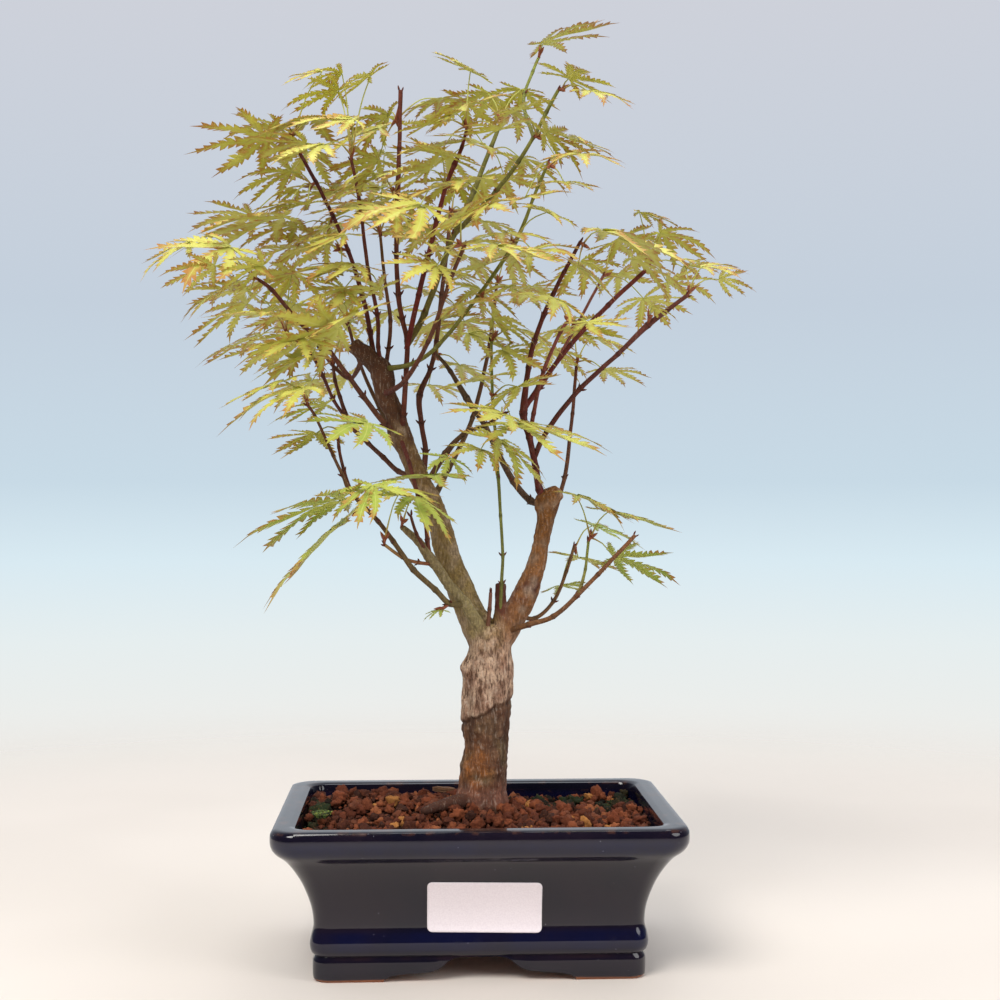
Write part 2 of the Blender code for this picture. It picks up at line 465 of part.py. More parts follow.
GLAZE = material("glaze_navy", (.012, .014, .045), .12, .8)
pot = piece("pot", loft(lifted(WALL + LIP + INSIDE), "pot"), GLAZE)
under = helper("under", loft([(25, -2), (25, FLOOR_UNDER - 1), (26, FLOOR_UNDER)], "under"))
boolean(pot, under, "DIFFERENCE")
boolean(pot, arch("arch_long", ARCH_HALF, RIM_WIDTH, 0), "DIFFERENCE")
boolean(pot, arch("arch_short", ARCH_HALF * .62, RIM_LENGTH, math.pi / 2), "DIFFERENCE")
for side in (-1, 1):
    boolean(pot, drum(f"drain_{side + 1}", DRAIN_RADIUS, 30, (side * DRAIN_X, 0, 15)), "DIFFERENCE")

# ------------------------------------------------------------------ drain grids
GRID = material("grid_black_plastic", (.02, .02, .022), .5)
for side, word in ((-1, "left"), (1, "right")):
    work = bmesh.new()
    bmesh.ops.create_cube(work, size=1)
    bmesh.ops.scale(work, vec=(GRID_SIZE / 1000, GRID_SIZE / 1000, GRID_THICK / 1000), verts=work.verts)
    grid = piece(f"drainage_mesh_{word}", finished(work, "grid"), GRID)
    grid.location = (side * DRAIN_X / 1000, 0, (FLOOR_TOP + .3 + GRID_THICK / 2) / 1000)
    pitch = GRID_SIZE / (GRID_HOLES + .5)
    holes = bmesh.new()
    for i in range(GRID_HOLES):
        for j in range(GRID_HOLES):
            made = bmesh.ops.create_cube(holes, size=1)["verts"]
            bmesh.ops.scale(holes, vec=(pitch * .62 / 1000, pitch * .62 / 1000, .01), verts=made)
            middle = (GRID_HOLES - 1) / 2
            bmesh.ops.translate(holes, vec=((i - middle) * pitch / 1000, (j - middle) * pitch / 1000, 0), verts=made)
    cutter = helper(f"grid_holes_{word}", finished(holes, "holes"))
    cutter.location = grid.location
    boolean(grid, cutter, "DIFFERENCE")


# ------------------------------------------------------------------ soil
def ground(x, y):
    """Height of the soil at a place, in mm: mounded at the trunk and at the left, lumpy all over."""
    height = 67.0
    height += 7.0 * math.exp(-((x - 1) ** 2 + (y + 2) ** 2) / 30 ** 2)
    height += 8.5 * math.exp(-(((x + 62) / 26) ** 2 + ((y - 8) / 26) ** 2))
    height += 3.0 * math.exp(-(((x + 25) / 28) ** 2 + ((y - 4) / 30) ** 2))
    height -= 2.5 * math.exp(-(((x - 48) / 34) ** 2 + ((y - 34) / 18) ** 2))
    lumps = noise.noise(Vector((x, y, 0)) / 8) * 1.1 + noise.noise(Vector((x, y, 40)) / 17) * 1.4
    return raised(height + lumps)


def inner(z):
    """Inset of the pot's inner wall at a height before it is raised, plus the clearance."""
    rings = sorted((h, inset) for inset, h in LIP[2:] + INSIDE)
    for (z0, a), (z1, b) in zip(rings, rings[1:]):
        if z <= z1:
            return a + (b - a) * (z - z0) / (z1 - z0) + .5
    return rings[-1][1] + .5


SOIL = material("soil_akadama", (.17, .06, .028), .95)
levels = [FLOOR_TOP + .4, 24, 32, 43, 53, 61]
rings = [(inner(z) + (2.4 if z < FLOOR_TOP + 1 else .2), z) for z in levels]
rings.append((inner(64), 64.4))
work = bmesh.new()
work.from_mesh(loft(lifted(rings), "soil"))
top = max(v.co.z for v in work.verts)
cap = [f for f in work.faces if all(v.co.z > top - 1e-5 for v in f.verts)]
for share in (.86, .7, .54, .38, .22, .08):
    cap = bmesh.ops.inset_individual(work, faces=cap, thickness=1e-5)["faces"] and cap
    for face in cap:
        for vert, (x, y) in zip(sorted(face.verts, key=lambda v: math.atan2(v.co.y, v.co.x)),
                                sorted(outline(13.5), key=lambda p: math.atan2(p[1], p[0]))):
            x, y = x * share, y * share
            vert.co = (x / 1000, y / 1000, max(ground(x, y), raised(60)) / 1000)
soil = piece("soil_bed", finished(work, "soil"), SOIL)
for side in (-1, 1):
    room = GRID_SIZE + .8
    boolean(soil, block(f"grid_room_{side + 1}", (room, room, 6),
                        (side * DRAIN_X, 0, FLOOR_TOP + .3 + GRID_THICK + .3 - 3)), "DIFFERENCE")


# ------------------------------------------------------------------ wood
def tube(points, sides=1, grow=0.0):
    """A bevelled curve with filled caps through (position, radius) points, as a closed mesh."""
    curve = bpy.data.curves.new("tube", "CURVE")
    curve.dimensions, curve.fill_mode = "3D", "FULL"
    curve.bevel_depth, curve.bevel_resolution, curve.use_fill_caps = 1.0, sides, True
    spline = curve.splines.new("POLY")
    spline.points.add(len(points) - 1)
    for point, (place, radius) in zip(spline.points, points):
        point.co = (*place, 1)
        point.radius = radius + grow
    guide = helper("tube_guide", curve)
    mesh = welded(baked(guide))
    bpy.data.objects.remove(guide)
    return mesh


def without_crumbs(mesh, smallest=.0015):
    """The mesh without the loose crumbs that a union can leave where several shapes share a corner."""
    work = bmesh.new()
    work.from_mesh(mesh)
    left = set(work.faces)
    crumbs = []
    while left:
        island, queue = [], [left.pop()]
        while queue:
            face = queue.pop()
            island.append(face)
            for edge in face.edges:
                for other in edge.link_faces:
                    if other in left:
                        left.discard(other)
                        queue.append(other)
        places = [v.co for f in island for v in f.verts]
        if max(max(p[k] for p in places) - min(p[k] for p in places) for k in range(3)) < smallest:
            crumbs += island
    bmesh.ops.delete(work, geom=crumbs, context="FACES")
    return finished(work, mesh.name)


def joined(name, meshes):
    """One closed body: the first mesh with all the others united to it."""
    group = bpy.data.collections.new(name + "_parts")
    TOOLS.children.link(group)
    base = helper(name + "_base", meshes[0])
    for i, mesh in enumerate(meshes[1:]):
        part = bpy.data.objects.new(f"{name}_{i}", mesh)
        group.objects.link(part)
        part.parent = STAND
    boolean(base, group, "UNION", True)
    mesh = without_crumbs(welded(baked(base), 1e-8))
    for part in list(group.objects) + [base]:
        bpy.data.objects.remove(part)
    bpy.data.collections.remove(group)
    return mesh


def shape_points(points, low=.55):
    return [(at(x, z, y), max(r, low) / 1000) for x, z, y, r in points]


BARK = material("bark_brown", (.16, .09, .05), .85)
thick = {"trunk": 4, "left": 2, "right": 2}
stems = [tube(shape_points(points), thick.get(name, 0)) for name, points in TREE.items()]
wood = piece("trunk_and_branches", joined("wood", stems), BARK)
wood.data.name = "wood"
boolean(soil, helper("trunk_room", tube(shape_points([(2.5, 63, 0, 12.4)] + TREE["trunk"][1:5]), 4, .0006)),
        "DIFFERENCE")
boolean(soil, helper("root_room", tube(shape_points(TREE["root"] + [(-29, 69, -28.2, 1.6)]), 1, .0006)), "DIFFERENCE")

# ------------------------------------------------------------------ label, chip and moss
work = bmesh.new()
bmesh.ops.create_grid(work, x_segments=8, y_segments=6, size=1)
for vert in work.verts:
    z = raised(LABEL_LOW) + (LABEL_HIGH - LABEL_LOW) * (vert.co.y + 1) / 2
    heights = lifted(WALL)
    inset = next(a + (b - a) * (z - z0) / (z1 - z0)
                 for (a, z0), (b, z1) in zip(heights, heights[1:]) if z <= z1 and z1 > z0)
    vert.co = ((LABEL_X + vert.co.x * LABEL_WIDTH / 2) / 1000, (-RIM_WIDTH / 2 + inset - .45) / 1000, z / 1000)
label = piece("paper_label", finished(work, "label"), material("label_paper", (.85, .8, .82), .5))
if label.data.polygons[0].normal.y > 0:
    label.data.flip_normals()
skin = label.modifiers.new("paper", "SOLIDIFY")
skin.thickness, skin.offset = LABEL_THICK / 1000, 1

work = bmesh.new()
bmesh.ops.create_cube(work, size=1)
bmesh.ops.scale(work, vec=(.012, .0045, .0025), verts=work.verts)
bmesh.ops.bevel(work, geom=list(work.edges), offset=.0006, segments=1, affect="EDGES")
chip = piece("bark_chip", finished(work, "chip"), material("chip_wood", (.25, .13, .07), .8))
chip.location = (-.016, .026, (ground(-16, 26) + 4.6) / 1000)
chip.rotation_euler = (0, .12, .25)

work = bmesh.new()
bmesh.ops.create_icosphere(work, subdivisions=2, radius=1)
for vert in work.verts:
    swell = 1 + .22 * noise.noise(vert.co * 2.3)
    vert.co = Vector((vert.co.x * .0062, vert.co.y * .0085, max(vert.co.z, -.1) * .0026)) * swell
moss = piece("moss_tuft", finished(work, "moss"), material("moss_green", (.12, .3, .06), .9))
moss_x, moss_y = 21.5 - RIM_LENGTH / 2, 47 - RIM_WIDTH / 2
moss.location = (moss_x / 1000, moss_y / 1000, (ground(moss_x, moss_y) + 3.2) / 1000)

# ------------------------------------------------------------------ leafy shoots
LEAF = material("leaf_lime", (.36, .42, .05), .45)


def tree_of(obj):
    bpy.context.view_layer.update()
    mesh = obj.evaluated_get(bpy.context.evaluated_depsgraph_get()).to_mesh()
    return BVHTree.FromPolygons([v.co.copy() for v in mesh.vertices], [tuple(p.vertices) for p in mesh.polygons])


def leaf_mesh(frame, reach, droop):
    """A cone whose rim is drawn out to the lobe tips and notches."""
    work = bmesh.new()
    rim = leaf_rim(reach, droop)
    made = bmesh.ops.create_cone(work, cap_ends=True, cap_tris=True, segments=len(rim), radius1=1, radius2=0, depth=1)
    low = sorted((v for v in made["verts"] if v.co.z < 0 and v.co.xy.length > .5),
                 key=lambda v: math.atan2(v.co.y, v.co.x))
    start = sorted(range(len(rim)), key=lambda i: math.atan2(rim[i].y, rim[i].x))
    for vert, index in zip(low, start):
        vert.co = rim[index]
    for vert in made["verts"]:
        if vert not in low:
            vert.co = (0, 0, .0009 if vert.co.z > 0 else -.0008)
    bmesh.ops.transform(work, matrix=frame, verts=work.verts)
    return finished(work, "leaf")


shoots = place_leaves([tree_of(wood), tree_of(soil), tree_of(pot)])
for index, (bud, out, placed) in enumerate(shoots):
    turn = out.to_track_quat("Z", "Y").to_matrix().to_4x4()
    work = bmesh.new()
    bmesh.ops.create_icosphere(work, subdivisions=1, radius=BUD)
    bmesh.ops.scale(work, vec=(1, 1, 1.35), verts=work.verts)
    bmesh.ops.transform(work, matrix=Matrix.Translation(bud) @ turn, verts=work.verts)
    parts = [finished(work, "bud")]
    for frame, reach, droop, path in placed:
        parts.append(tube([(p, STALK) for p in path[:-1]] + [(path[-1], STALK * .8)], 0))
        parts.append(leaf_mesh(frame, reach, droop))
    piece(f"spray_{index + 1:02d}", joined(f"spray{index}", parts), LEAF)
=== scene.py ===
import math
import random

import bmesh
import bpy
import numpy as np
from mathutils import Matrix, Vector, noise
from mathutils.kdtree import KDTree

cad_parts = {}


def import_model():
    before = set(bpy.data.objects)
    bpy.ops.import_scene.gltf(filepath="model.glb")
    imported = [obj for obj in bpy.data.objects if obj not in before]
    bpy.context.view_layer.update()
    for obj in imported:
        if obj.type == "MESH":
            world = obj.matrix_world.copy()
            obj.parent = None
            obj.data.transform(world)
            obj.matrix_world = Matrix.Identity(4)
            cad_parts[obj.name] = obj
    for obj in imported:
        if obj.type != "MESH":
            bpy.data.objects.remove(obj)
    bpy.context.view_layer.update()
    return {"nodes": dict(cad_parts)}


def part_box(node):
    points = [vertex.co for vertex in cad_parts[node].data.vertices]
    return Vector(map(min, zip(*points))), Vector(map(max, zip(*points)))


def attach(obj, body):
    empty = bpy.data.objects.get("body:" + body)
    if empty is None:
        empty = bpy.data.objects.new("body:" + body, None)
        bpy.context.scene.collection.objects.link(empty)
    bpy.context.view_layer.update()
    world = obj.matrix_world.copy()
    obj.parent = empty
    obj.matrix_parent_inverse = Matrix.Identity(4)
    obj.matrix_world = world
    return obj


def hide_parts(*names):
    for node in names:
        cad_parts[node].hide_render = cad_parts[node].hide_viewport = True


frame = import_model()

# ------------------------------------------------------------------ sizes shared with the CAD part (mm)
RIM_LENGTH, RIM_WIDTH, RIM_HEIGHT = 194.0, 142.0, 73.5
DRAWN_HEIGHT, FOOT_HEIGHT = 73.5, 20.0  # the rim height of the tables; the foot keeps its own
RIM_CORNER = 12.0
FLOOR_UNDER, FLOOR_TOP = 12.4, 18.0
ARCH_TOP, ARCH_HALF, DRAWN_HALF = 11.4, 45.0, 45.0
DRAIN_RADIUS, DRAIN_X = 8.0, RIM_LENGTH * .1856
LABEL_WIDTH, LABEL_LOW, LABEL_HIGH, LABEL_X = 53.5, 23.0, 47.5, 2.0
SHIFT = Vector((.014, -.006, 0))  # the pot's centre in the row frame, in metres
BUD, STALK, GAP = 0.0011, 0.0005, 0.0003  # radii, and the air between a shoot and the wood, in metres
LEAF_SCALE = 1.08
SEED = 7
noise.seed_set(SEED)  # otherwise noise vectors start from the clock

EYE = (-26.7, -804.3, 224.0)
TREE = {
    "trunk": [(2.5, 64, 0, 11.8), (2.5, 72, 0, 13.6), (2.5, 77, 0, 13), (2.6, 82, 0, 12.2),
              (3.4, 89, 0, 11.8), (4.9, 101.5, 0, 11), (4.3, 113, 0, 12), (5.4, 127, 0, 12.4),
              (6.1, 141, 0, 12), (6.8, 151, 0, 10.6), (7.5, 161, 0, 8.5)],
    "root": [(0, 73.5, -6, 4.5), (-9, 74.5, -14, 3.4), (-17, 72.5, -21, 2.8), (-27, 69.5, -27, 2)],
    "left": [(5, 150, 0, 8), (1.5, 159, 1, 7.8), (-6, 175, 3, 6.9), (-14, 196, 6, 6.2),
             (-19.5, 216, 8, 5.6), (-28.5, 236, 10, 5.1), (-34, 248, 10, 5), (-38.5, 258, 9, 5.8),
             (-40.5, 267, 9, 4.9), (-45, 277, 8, 5.2), (-47, 288, 8, 6), (-52, 294, 8, 5),
             (-61.5, 302, 8, 4)],
    "right": [(8, 152, 0, 8), (14, 160, 0, 7.4), (19.5, 168, 0, 6.4), (25, 179, -1, 6.1),
              (29.5, 191, -2, 4.7), (32.5, 204, -2, 4.1), (34.5, 215, -2, 4.4), (35, 224, -2, 5.9),
              (41.5, 229, -3, 3.6)],
    "stub_a": [(10.5, 155, -3, 3), (12, 168, -3, 2.3), (12, 183, -3, 2.1)],
    "stub_b": [(5, 155, -6, 1.5), (6.5, 170, -7, 1.1), (7, 178.5, -7, 1)],
    "thread": [(12, 170, -5, 1.1), (12.5, 183, -6, 1), (13, 197, -6, .9), (12, 217, -5, .9),
               (10.8, 236, -4, 1), (9.5, 256, -4, .9), (8, 276, -4, .9), (7.5, 304, -3, .8)],
    "side": [(5, 153, -3, 4), (0, 164, -6, 3.2), (-6.5, 174, -8, 2.9), (-14, 182.5, -10, 2.6),
             (-19, 190, -11, 2.7), (-23, 195.5, -12, 2.8), (-29, 204, -13, 2.1),
             (-37.5, 211.5, -14, 1.7)],
    "side_red": [(-23, 195.5, -12, 1.4), (-24.5, 204, -13, 1.2), (-25.5, 214, -12, 1.2),
                 (-29, 226, -9, 1.2), (-33.5, 243, -2, 1.2), (-38, 256, 6, 1.3)],
    "side_bit": [(-24, 197, -12, 1.1), (-30, 208, -17, .9), (-33, 217, -20, .8)],
    "arch": [(-21, 192.5, -11, 1.2), (-29, 193.5, -17, 1), (-37, 196, -25, 1), (-46, 202.5, -33, .9)],
    "low": [(-6, 173, -8, 2.4), (-13.5, 173, -14, 2.3), (-20.5, 180, -19, 2.2), (-31.5, 190, -24, 2.2),
            (-41.5, 204, -29, 1.9), (-49, 214, -33, 1.7), (-62.5, 229, -38, 1.9), (-66.5, 237, -40, 1.4),
            (-71.5, 247, -42, 1.2), (-80, 266, -46, 1.1), (-84, 272, -47, 1.3)],
    "low_b": [(-62.5, 229, -38, 1.3), (-66, 239, -35, 1.1), (-68.5, 251, -31, 1), (-69, 258, -29, .9)],
    "knob_left": [(-38.5, 258, 9, 2), (-45, 262, 3, 1.6), (-56.5, 276.5, -6, 1.5), (-64, 286.5, -11, 1.4),
                  (-76.5, 303, -18, 1.3), (-89, 314, -24, 1.2), (-101.5, 329, -29, 1.1),
                  (-108, 334, -31, 1)],
    "mast": [(-38, 259, 9, 2), (-36.5, 267, 3, 1.6), (-35, 291, 0, 1.5), (-34.7, 304, -1, 1.5),
             (-37, 315, -2, 1.4), (-39, 327, -3, 1.5), (-40, 347, -4, 1.3), (-39.5, 373, -5, 1.7),
             (-38.5, 400, -6, 1.2), (-38, 429, -6, 1.3)],
    "d": [(-30, 236, 8, 1.8), (-39, 239, 17, 1.5), (-46.5, 246, 20, 1.4), (-54, 253, 22, 1.3),
          (-63, 262.5, 24, 1.6), (-68, 276, 27, 1.1), (-70.5, 284, 29, 1), (-71.5, 292, 31, .9)],
    "d_b": [(-63, 262.5, 24, 1.2), (-71.5, 275, 17, 1), (-76.5, 286.5, 12, 1), (-83, 298, 8, .9),
            (-94, 308, 2, .9)],
    "e": [(-56, 297, 8, 2), (-62, 285.5, 30, 1.2), (-70, 290, 40, 1.1), (-78, 300, 52, 1),
          (-83, 306, 62, .9)],
    "v1": [(-47, 291, 8, 1.6), (-49, 301, 5, 1.2), (-49.5, 317, 2, 1.2), (-54, 339, -4, 1.1),
           (-58.5, 374, -10, 1), (-62.5, 394, -14, .9)],
    "v2": [(-46, 289, 9, 1.6), (-44, 300, 16, 1.2), (-43, 314, 24, 1.2), (-46, 336, 36, 1),
           (-48, 356, 46, .9)],
    "v3": [(-51, 295, 8, 1.8), (-53, 308, 12, 1.4), (-57, 327, 13, 1.4), (-64, 349, 11, 1.2),
           (-71.5, 366, 7, 1.1), (-80, 383, 2, 1.1), (-89, 399, -4, 1), (-92, 405, -6, 1.2)],
    "v9": [(-45, 290, 6, 1.8), (-31.5, 293, -7, 1.3), (-19, 302, -14, 1.2), (1, 327, -20, 1.1),
           (19.5, 354, -24, 1.2), (28.5, 376, -27, .9), (36, 394, -29, .9)],
    "v5": [(-27, 236, 10, 2.2), (-25.5, 249, 18, 1.6), (-27.5, 263, 21, 1.5), (-28.5, 277, 22, 1.8),
           (-23, 290, 23, 1.4), (-20, 304, 25, 1.3), (-17.5, 327, 29, 1.3), (-15, 347, 33, 1.1),
           (-13, 369, 37, 1)],
    "v6": [(-35, 300, -1, 1.6), (-29, 327, -9, 1.5), (-24, 347, -14, 1.4), (-20, 364, -18, 1.3),
           (-15.5, 381, -21, 1.2), (-11, 392.5, -23, 1.4), (-7.5, 401, -24, 1), (-5, 410, -25, .9)],
    "v7": [(-34.8, 302, -1, 1.9), (-26, 318, 5, 1.8), (-11.5, 357, 12, 1.6), (-1.5, 379, 15, 1.5),
           (7, 401, 18, 1.3), (12.5, 414, 20, 1.1)],
    "v8": [(-11.5, 357, 12, 1.6), (9.5, 379, 2, 1.2), (21, 394, -3, 1.2), (28.5, 406.5, -6, 1.1),
           (35, 419, -9, 1.1), (41, 430, -11, 1)],
    "top": [(28.5, 406.5, -6, 1.2), (24.5, 418, 6, 1), (24, 428, 14, .9), (28, 439, 20, .9),
            (31, 446, 23, .9)],
    "a": [(35, 222, -2, 3), (31.5, 230, -4, 2.1), (29.5, 241, -6, 1.9), (26.5, 256, -8, 1.8),
          (23.5, 268, -9, 2.1), (26, 291, -14, 1.5), (29, 304, -18, 1.4), (33.5, 317, -22, 1.3),
          (38.5, 328, -25, 1.2), (44, 339, -28, 1.1), (52, 354, -32, 1)],
    "a2": [(23.8, 270, -9, 1.6), (31, 281, -3, 1.4), (47, 302.5, 6, 1.4), (66, 322.5, 15, 1.4),
           (86, 341, 23, 1.3)],
    "a3": [(26.8, 255, -8, 1.6), (28.5, 268, -18, 1.2), (33.5, 289, -30, 1.1), (42, 309, -40, 1),
           (45.5, 314, -43, 1)],
    "a3b": [(24.5, 272, -9, 1.5), (33.5, 283, 14, 1), (51, 314, 34, .9), (63.5, 337, 46, .9)],
    "a4": [(28.8, 246, -6, 1.6), (36, 260.5, -12, 1.5), (52, 280.5, -20, 1.4), (71, 298, -28, 1.3),
           (86, 312.5, -34, 1.7), (96, 320, -38, 1.2), (106, 327.5, -42, 1.2)],
    "b": [(35, 223, -2, 2.6), (27, 224.5, 8, 2), (18.5, 234, 14, 1.9), (11, 247.5, 20, 1.8),
          (4.5, 261.5, 25, 1.6), (-5, 275.5, 31, 1.9), (-13, 289, 37, 1.3), (-20.5, 298, 42, 1)],
    "f": [(-23, 236, 10, 1.8), (-15.5, 248, 2, 1.9), (-6.5, 257.5, -8, 1.3), (4, 262, -18, 1),
          (14, 268, -28, .9)],
    "r1": [(14, 159, -3, 2), (26, 162.5, -12, 1.6), (38.5, 166.5, -17, 1.4), (50, 176.5, -21, 1.3),
           (61, 187.5, -25, 1.2), (79.5, 207, -32, 1.1)],
    "r2": [(20, 168, 3, 1.8), (29, 165.5, 11, 1.2), (38.5, 174, 18, 1.1), (45, 189, 26, 1),
           (49, 202, 32, .9)],
    "r3": [(51.5, 178, -22, 1.2), (54.5, 190, -16, .8), (56, 204, -11, .8)],
    "back_l": [(-31, 242, 12, 2.2), (-38, 252, 30, 1.6), (-48, 270, 52, 1.3), (-58, 292, 70, 1.1),
               (-64, 312, 82, 1)],
    "back_r": [(31, 198, 0, 2), (36, 210, 20, 1.5), (44, 236, 44, 1.3), (48, 268, 62, 1.1),
               (50, 292, 74, 1)],
    "back_c": [(-22, 225, 12, 2.2), (-14, 240, 34, 1.6), (-2, 266, 56, 1.4), (6, 300, 72, 1.2),
               (10, 332, 84, 1)],
    "front_c": [(-45, 278, 3, 1.8), (-36, 284, -22, 1.4), (-24, 304, -46, 1.2), (-14, 332, -64, 1.1),
                (-6, 352, -74, 1)],
}
# Leafy shoots: where each starts on the wood, then its leaves as (x, z, y, reach of the middle lobe), with
# the way the middle lobe points (degrees from +X) and how far it dips where these matter.
SHOOTS = [
    ((-92, 405, -6), [(-89, 397, -18, 31), (-78, 415, -10, 40), (-77, 438, -4, 19), (-98, 410, 18, 28),
                      (-104, 404, 4, 34, 176, 8), (-84, 398, 24, 28)]),
    ((-62.5, 394, -14), [(-67, 437, -10, 17), (-53, 436, -22, 21), (-60, 414, -34, 27),
                         (-72, 408, -28, 28), (-48, 410, -6, 26), (-66, 422, 2, 24)]),
    ((-38, 424, -6), [(-44, 416, 16, 26), (-29, 408, -26, 27), (-50, 402, 4, 26)]),
    ((-39.5, 374, -5), [(-41, 369, -34, 34), (-30, 389, -18, 26), (-52, 388, -30, 26), (-52, 372, 18, 28),
                        (-48, 380, 4, 28), (-26, 376, 8, 26)]),
    ((-80, 383, 2), [(-89, 379, -12, 15), (-96, 365, -30, 46, 178, 6), (-112, 366, 14, 30),
                     (-92, 388, 12, 28), (-70, 378, 20, 28), (-84, 372, -22, 28)]),
    ((-108, 334, -31), [(-122, 350, -44, 33), (-137, 354, -30, 24), (-130, 341, -60, 22),
                        (-106, 341, -52, 22), (-120, 332, -18, 26), (-114, 322, -40, 28)]),
    ((-94, 308, 2), [(-114, 329, 4, 28), (-104, 317, -24, 30), (-92, 337, 18, 24), (-108, 306, 12, 28),
                     (-90, 322, 26, 26)]),
    ((-64, 349, 11), [(-86, 350, 18, 28), (-74, 353, 32, 28), (-67, 340, -8, 27), (-56, 359, -10, 26)]),
    ((-76.5, 303, -18), [(-69, 310, -46, 40, 190, 12), (-82, 296, -40, 26), (-58, 318, -58, 28),
                         (-88, 306, -42, 28)]),
    ((-83, 306, 62), [(-88, 322, 72, 32), (-70, 314, 88, 30), (-98, 300, 52, 28), (-96, 316, 62, 26)]),
    ((-84, 272, -47), [(-86, 280, -62, 34), (-75, 272, -36, 22), (-96, 284, -48, 28)]),
    ((-71.5, 292, 31), [(-62, 314, 28, 24), (-82, 284, 40, 28), (-84, 304, 22, 26), (-70, 300, 46, 26)]),
    ((-69, 258, -29), [(-55, 264, -48, 30), (-80, 258, -18, 26)]),
    ((-62.5, 229, -38), [(-67, 225, -52, 46, 197, 14), (-52, 232, -62, 26, 250, 30)]),
    ((-56, 221, -35), [(-68, 213, -34, 46, 205, 40)]),
    ((-46, 202.5, -33), [(-45, 224, -40, 23)]),
    ((-37.5, 211.5, -14), [(-33, 226, -30, 29)]),
    ((-15.5, 248, 2), [(-21, 237, -22, 34), (-14, 246, -12, 18)]),
    ((-13, 173, -14), [(-18, 170, -17, 9)]),
    ((-5, 410, -25), [(-10, 418, -32, 27), (-24, 412, -44, 24), (-3, 439, -22, 22), (12, 410, -46, 26),
                      (-16, 402, -18, 26), (4, 402, -30, 26)]),
    ((-15.5, 381, -21), [(-6, 384, -46, 32), (-28, 372, -60, 30), (-24, 390, -38, 26), (6, 372, -64, 26),
                         (-18, 398, -54, 26)]),
    ((12.5, 414, 20), [(6, 428, 26, 22), (16, 420, 38, 28), (-6, 424, 44, 26), (22, 430, 26, 24)]),
    ((31, 446, 23), [(33, 453, 20, 34, -8, -22)]),
    ((41, 430, -11), [(46, 436, -16, 26), (56, 430, -30, 22)]),
    ((28.5, 406.5, -6), [(34, 408, -24, 25), (40, 396, -10, 24), (22, 420, -30, 22), (46, 406, 2, 24)]),
    ((36, 394, -29), [(44, 384, -38, 20), (24, 376, -44, 22), (52, 398, -46, 24)]),
    ((7, 401, 18), [(2, 386, 30, 26), (22, 396, 40, 28), (-14, 396, 50, 30), (14, 386, 42, 26)]),
    ((19.5, 354, -24), [(36, 368, -22, 22), (-4, 353, -38, 27), (14, 358, -52, 26), (28, 350, -40, 26),
                        (4, 342, -24, 24)]),
    ((52, 354, -32), [(62, 360, -44, 44, 5, 8), (51, 341, -36, 22)]),
    ((86, 341, 23), [(82, 369, 24, 20), (92, 359, 14, 27), (104, 342, 34, 19), (72, 356, 40, 28),
                     (96, 334, 38, 24), (78, 346, 10, 26)]),
    ((106, 327.5, -42), [(113, 342, -46, 19), (122, 336, -34, 15), (104, 346, -28, 16)]),
    ((86, 312.5, -34), [(88, 322, -44, 12)]),
    ((63.5, 337, 46), [(71, 338, 54, 26), (52, 344, 62, 28), (84, 326, 60, 26), (74, 352, 52, 26)]),
    ((1, 327, -20), [(16, 332, -30, 20), (26, 327, -46, 18), (-10, 326, -40, 26)]),
    ((-13, 369, 37), [(-8, 370, 52, 30), (-26, 362, 56, 28), (4, 364, 34, 26), (-10, 384, 46, 26)]),
    ((-17.5, 327, 29), [(-6, 314, 40, 27), (-30, 330, 48, 28), (2, 330, 44, 26), (-20, 314, 36, 28),
                        (-18, 340, 36, 26)]),
    ((45.5, 314, -43), [(56, 314, -54, 22), (38, 326, -60, 24)]),
    ((51, 314, 34), [(40, 310, 46, 24)]),
    ((7.5, 304, -3), [(14, 301, -14, 24), (-4, 308, 6, 26), (8, 316, -12, 24), (22, 310, 0, 22)]),
    ((8, 276, -4), [(12, 288, -22, 30), (18, 272, -16, 46, 0, 10), (-2, 284, -30, 26)]),
    ((9.5, 256, -4), [(11, 256, -14, 32, -60, 30), (2, 250, -20, 22)]),
    ((14, 268, -28), [(4, 266, -44, 32)]),
    ((-20.5, 298, 42), [(-8, 292, 56, 28), (-24, 282, 54, 24), (-14, 306, 56, 26)]),
    ((56, 204, -11), [(50, 227, -12, 26), (66, 219, -18, 32, 5, 12), (69, 196, -10, 31, -5, 10)]),
    ((49, 202, 32), [(51, 196, 40, 27), (42, 182, 36, 17), (58, 212, 48, 26)]),
    ((-64, 312, 82), [(-58, 330, 92, 32), (-78, 328, 76, 28), (-44, 318, 78, 26), (-70, 318, 92, 28)]),
    ((50, 292, 74), [(58, 306, 82, 30), (38, 300, 64, 26), (64, 290, 58, 24), (48, 312, 82, 26)]),
    ((10, 332, 84), [(16, 348, 92, 30), (-4, 346, 78, 28), (28, 330, 74, 26)]),
    ((-6, 352, -74), [(-8, 366, -84, 30), (10, 352, -86, 26), (-24, 352, -66, 28), (-20, 342, -78, 26)]),
    ((-54, 339, -4), [(-62, 342, -24, 28), (-48, 330, -20, 26), (-66, 330, -14, 26)]),
    ((-71.5, 366, 7), [(-62, 366, 24, 28), (-84, 356, 16, 28), (-74, 362, -12, 28)]),
    ((-48, 356, 46), [(-52, 374, 56, 32), (-66, 362, 66, 26), (-36, 380, 48, 28), (-46, 398, 40, 26),
                      (-60, 386, 42, 28), (-38, 362, 60, 26)]),
]
LOBES = ((0, 1.0), (33, .93), (68, .76), (112, .5))
SMALL = 22.0  # a leaf shorter than this in mm has five lobes


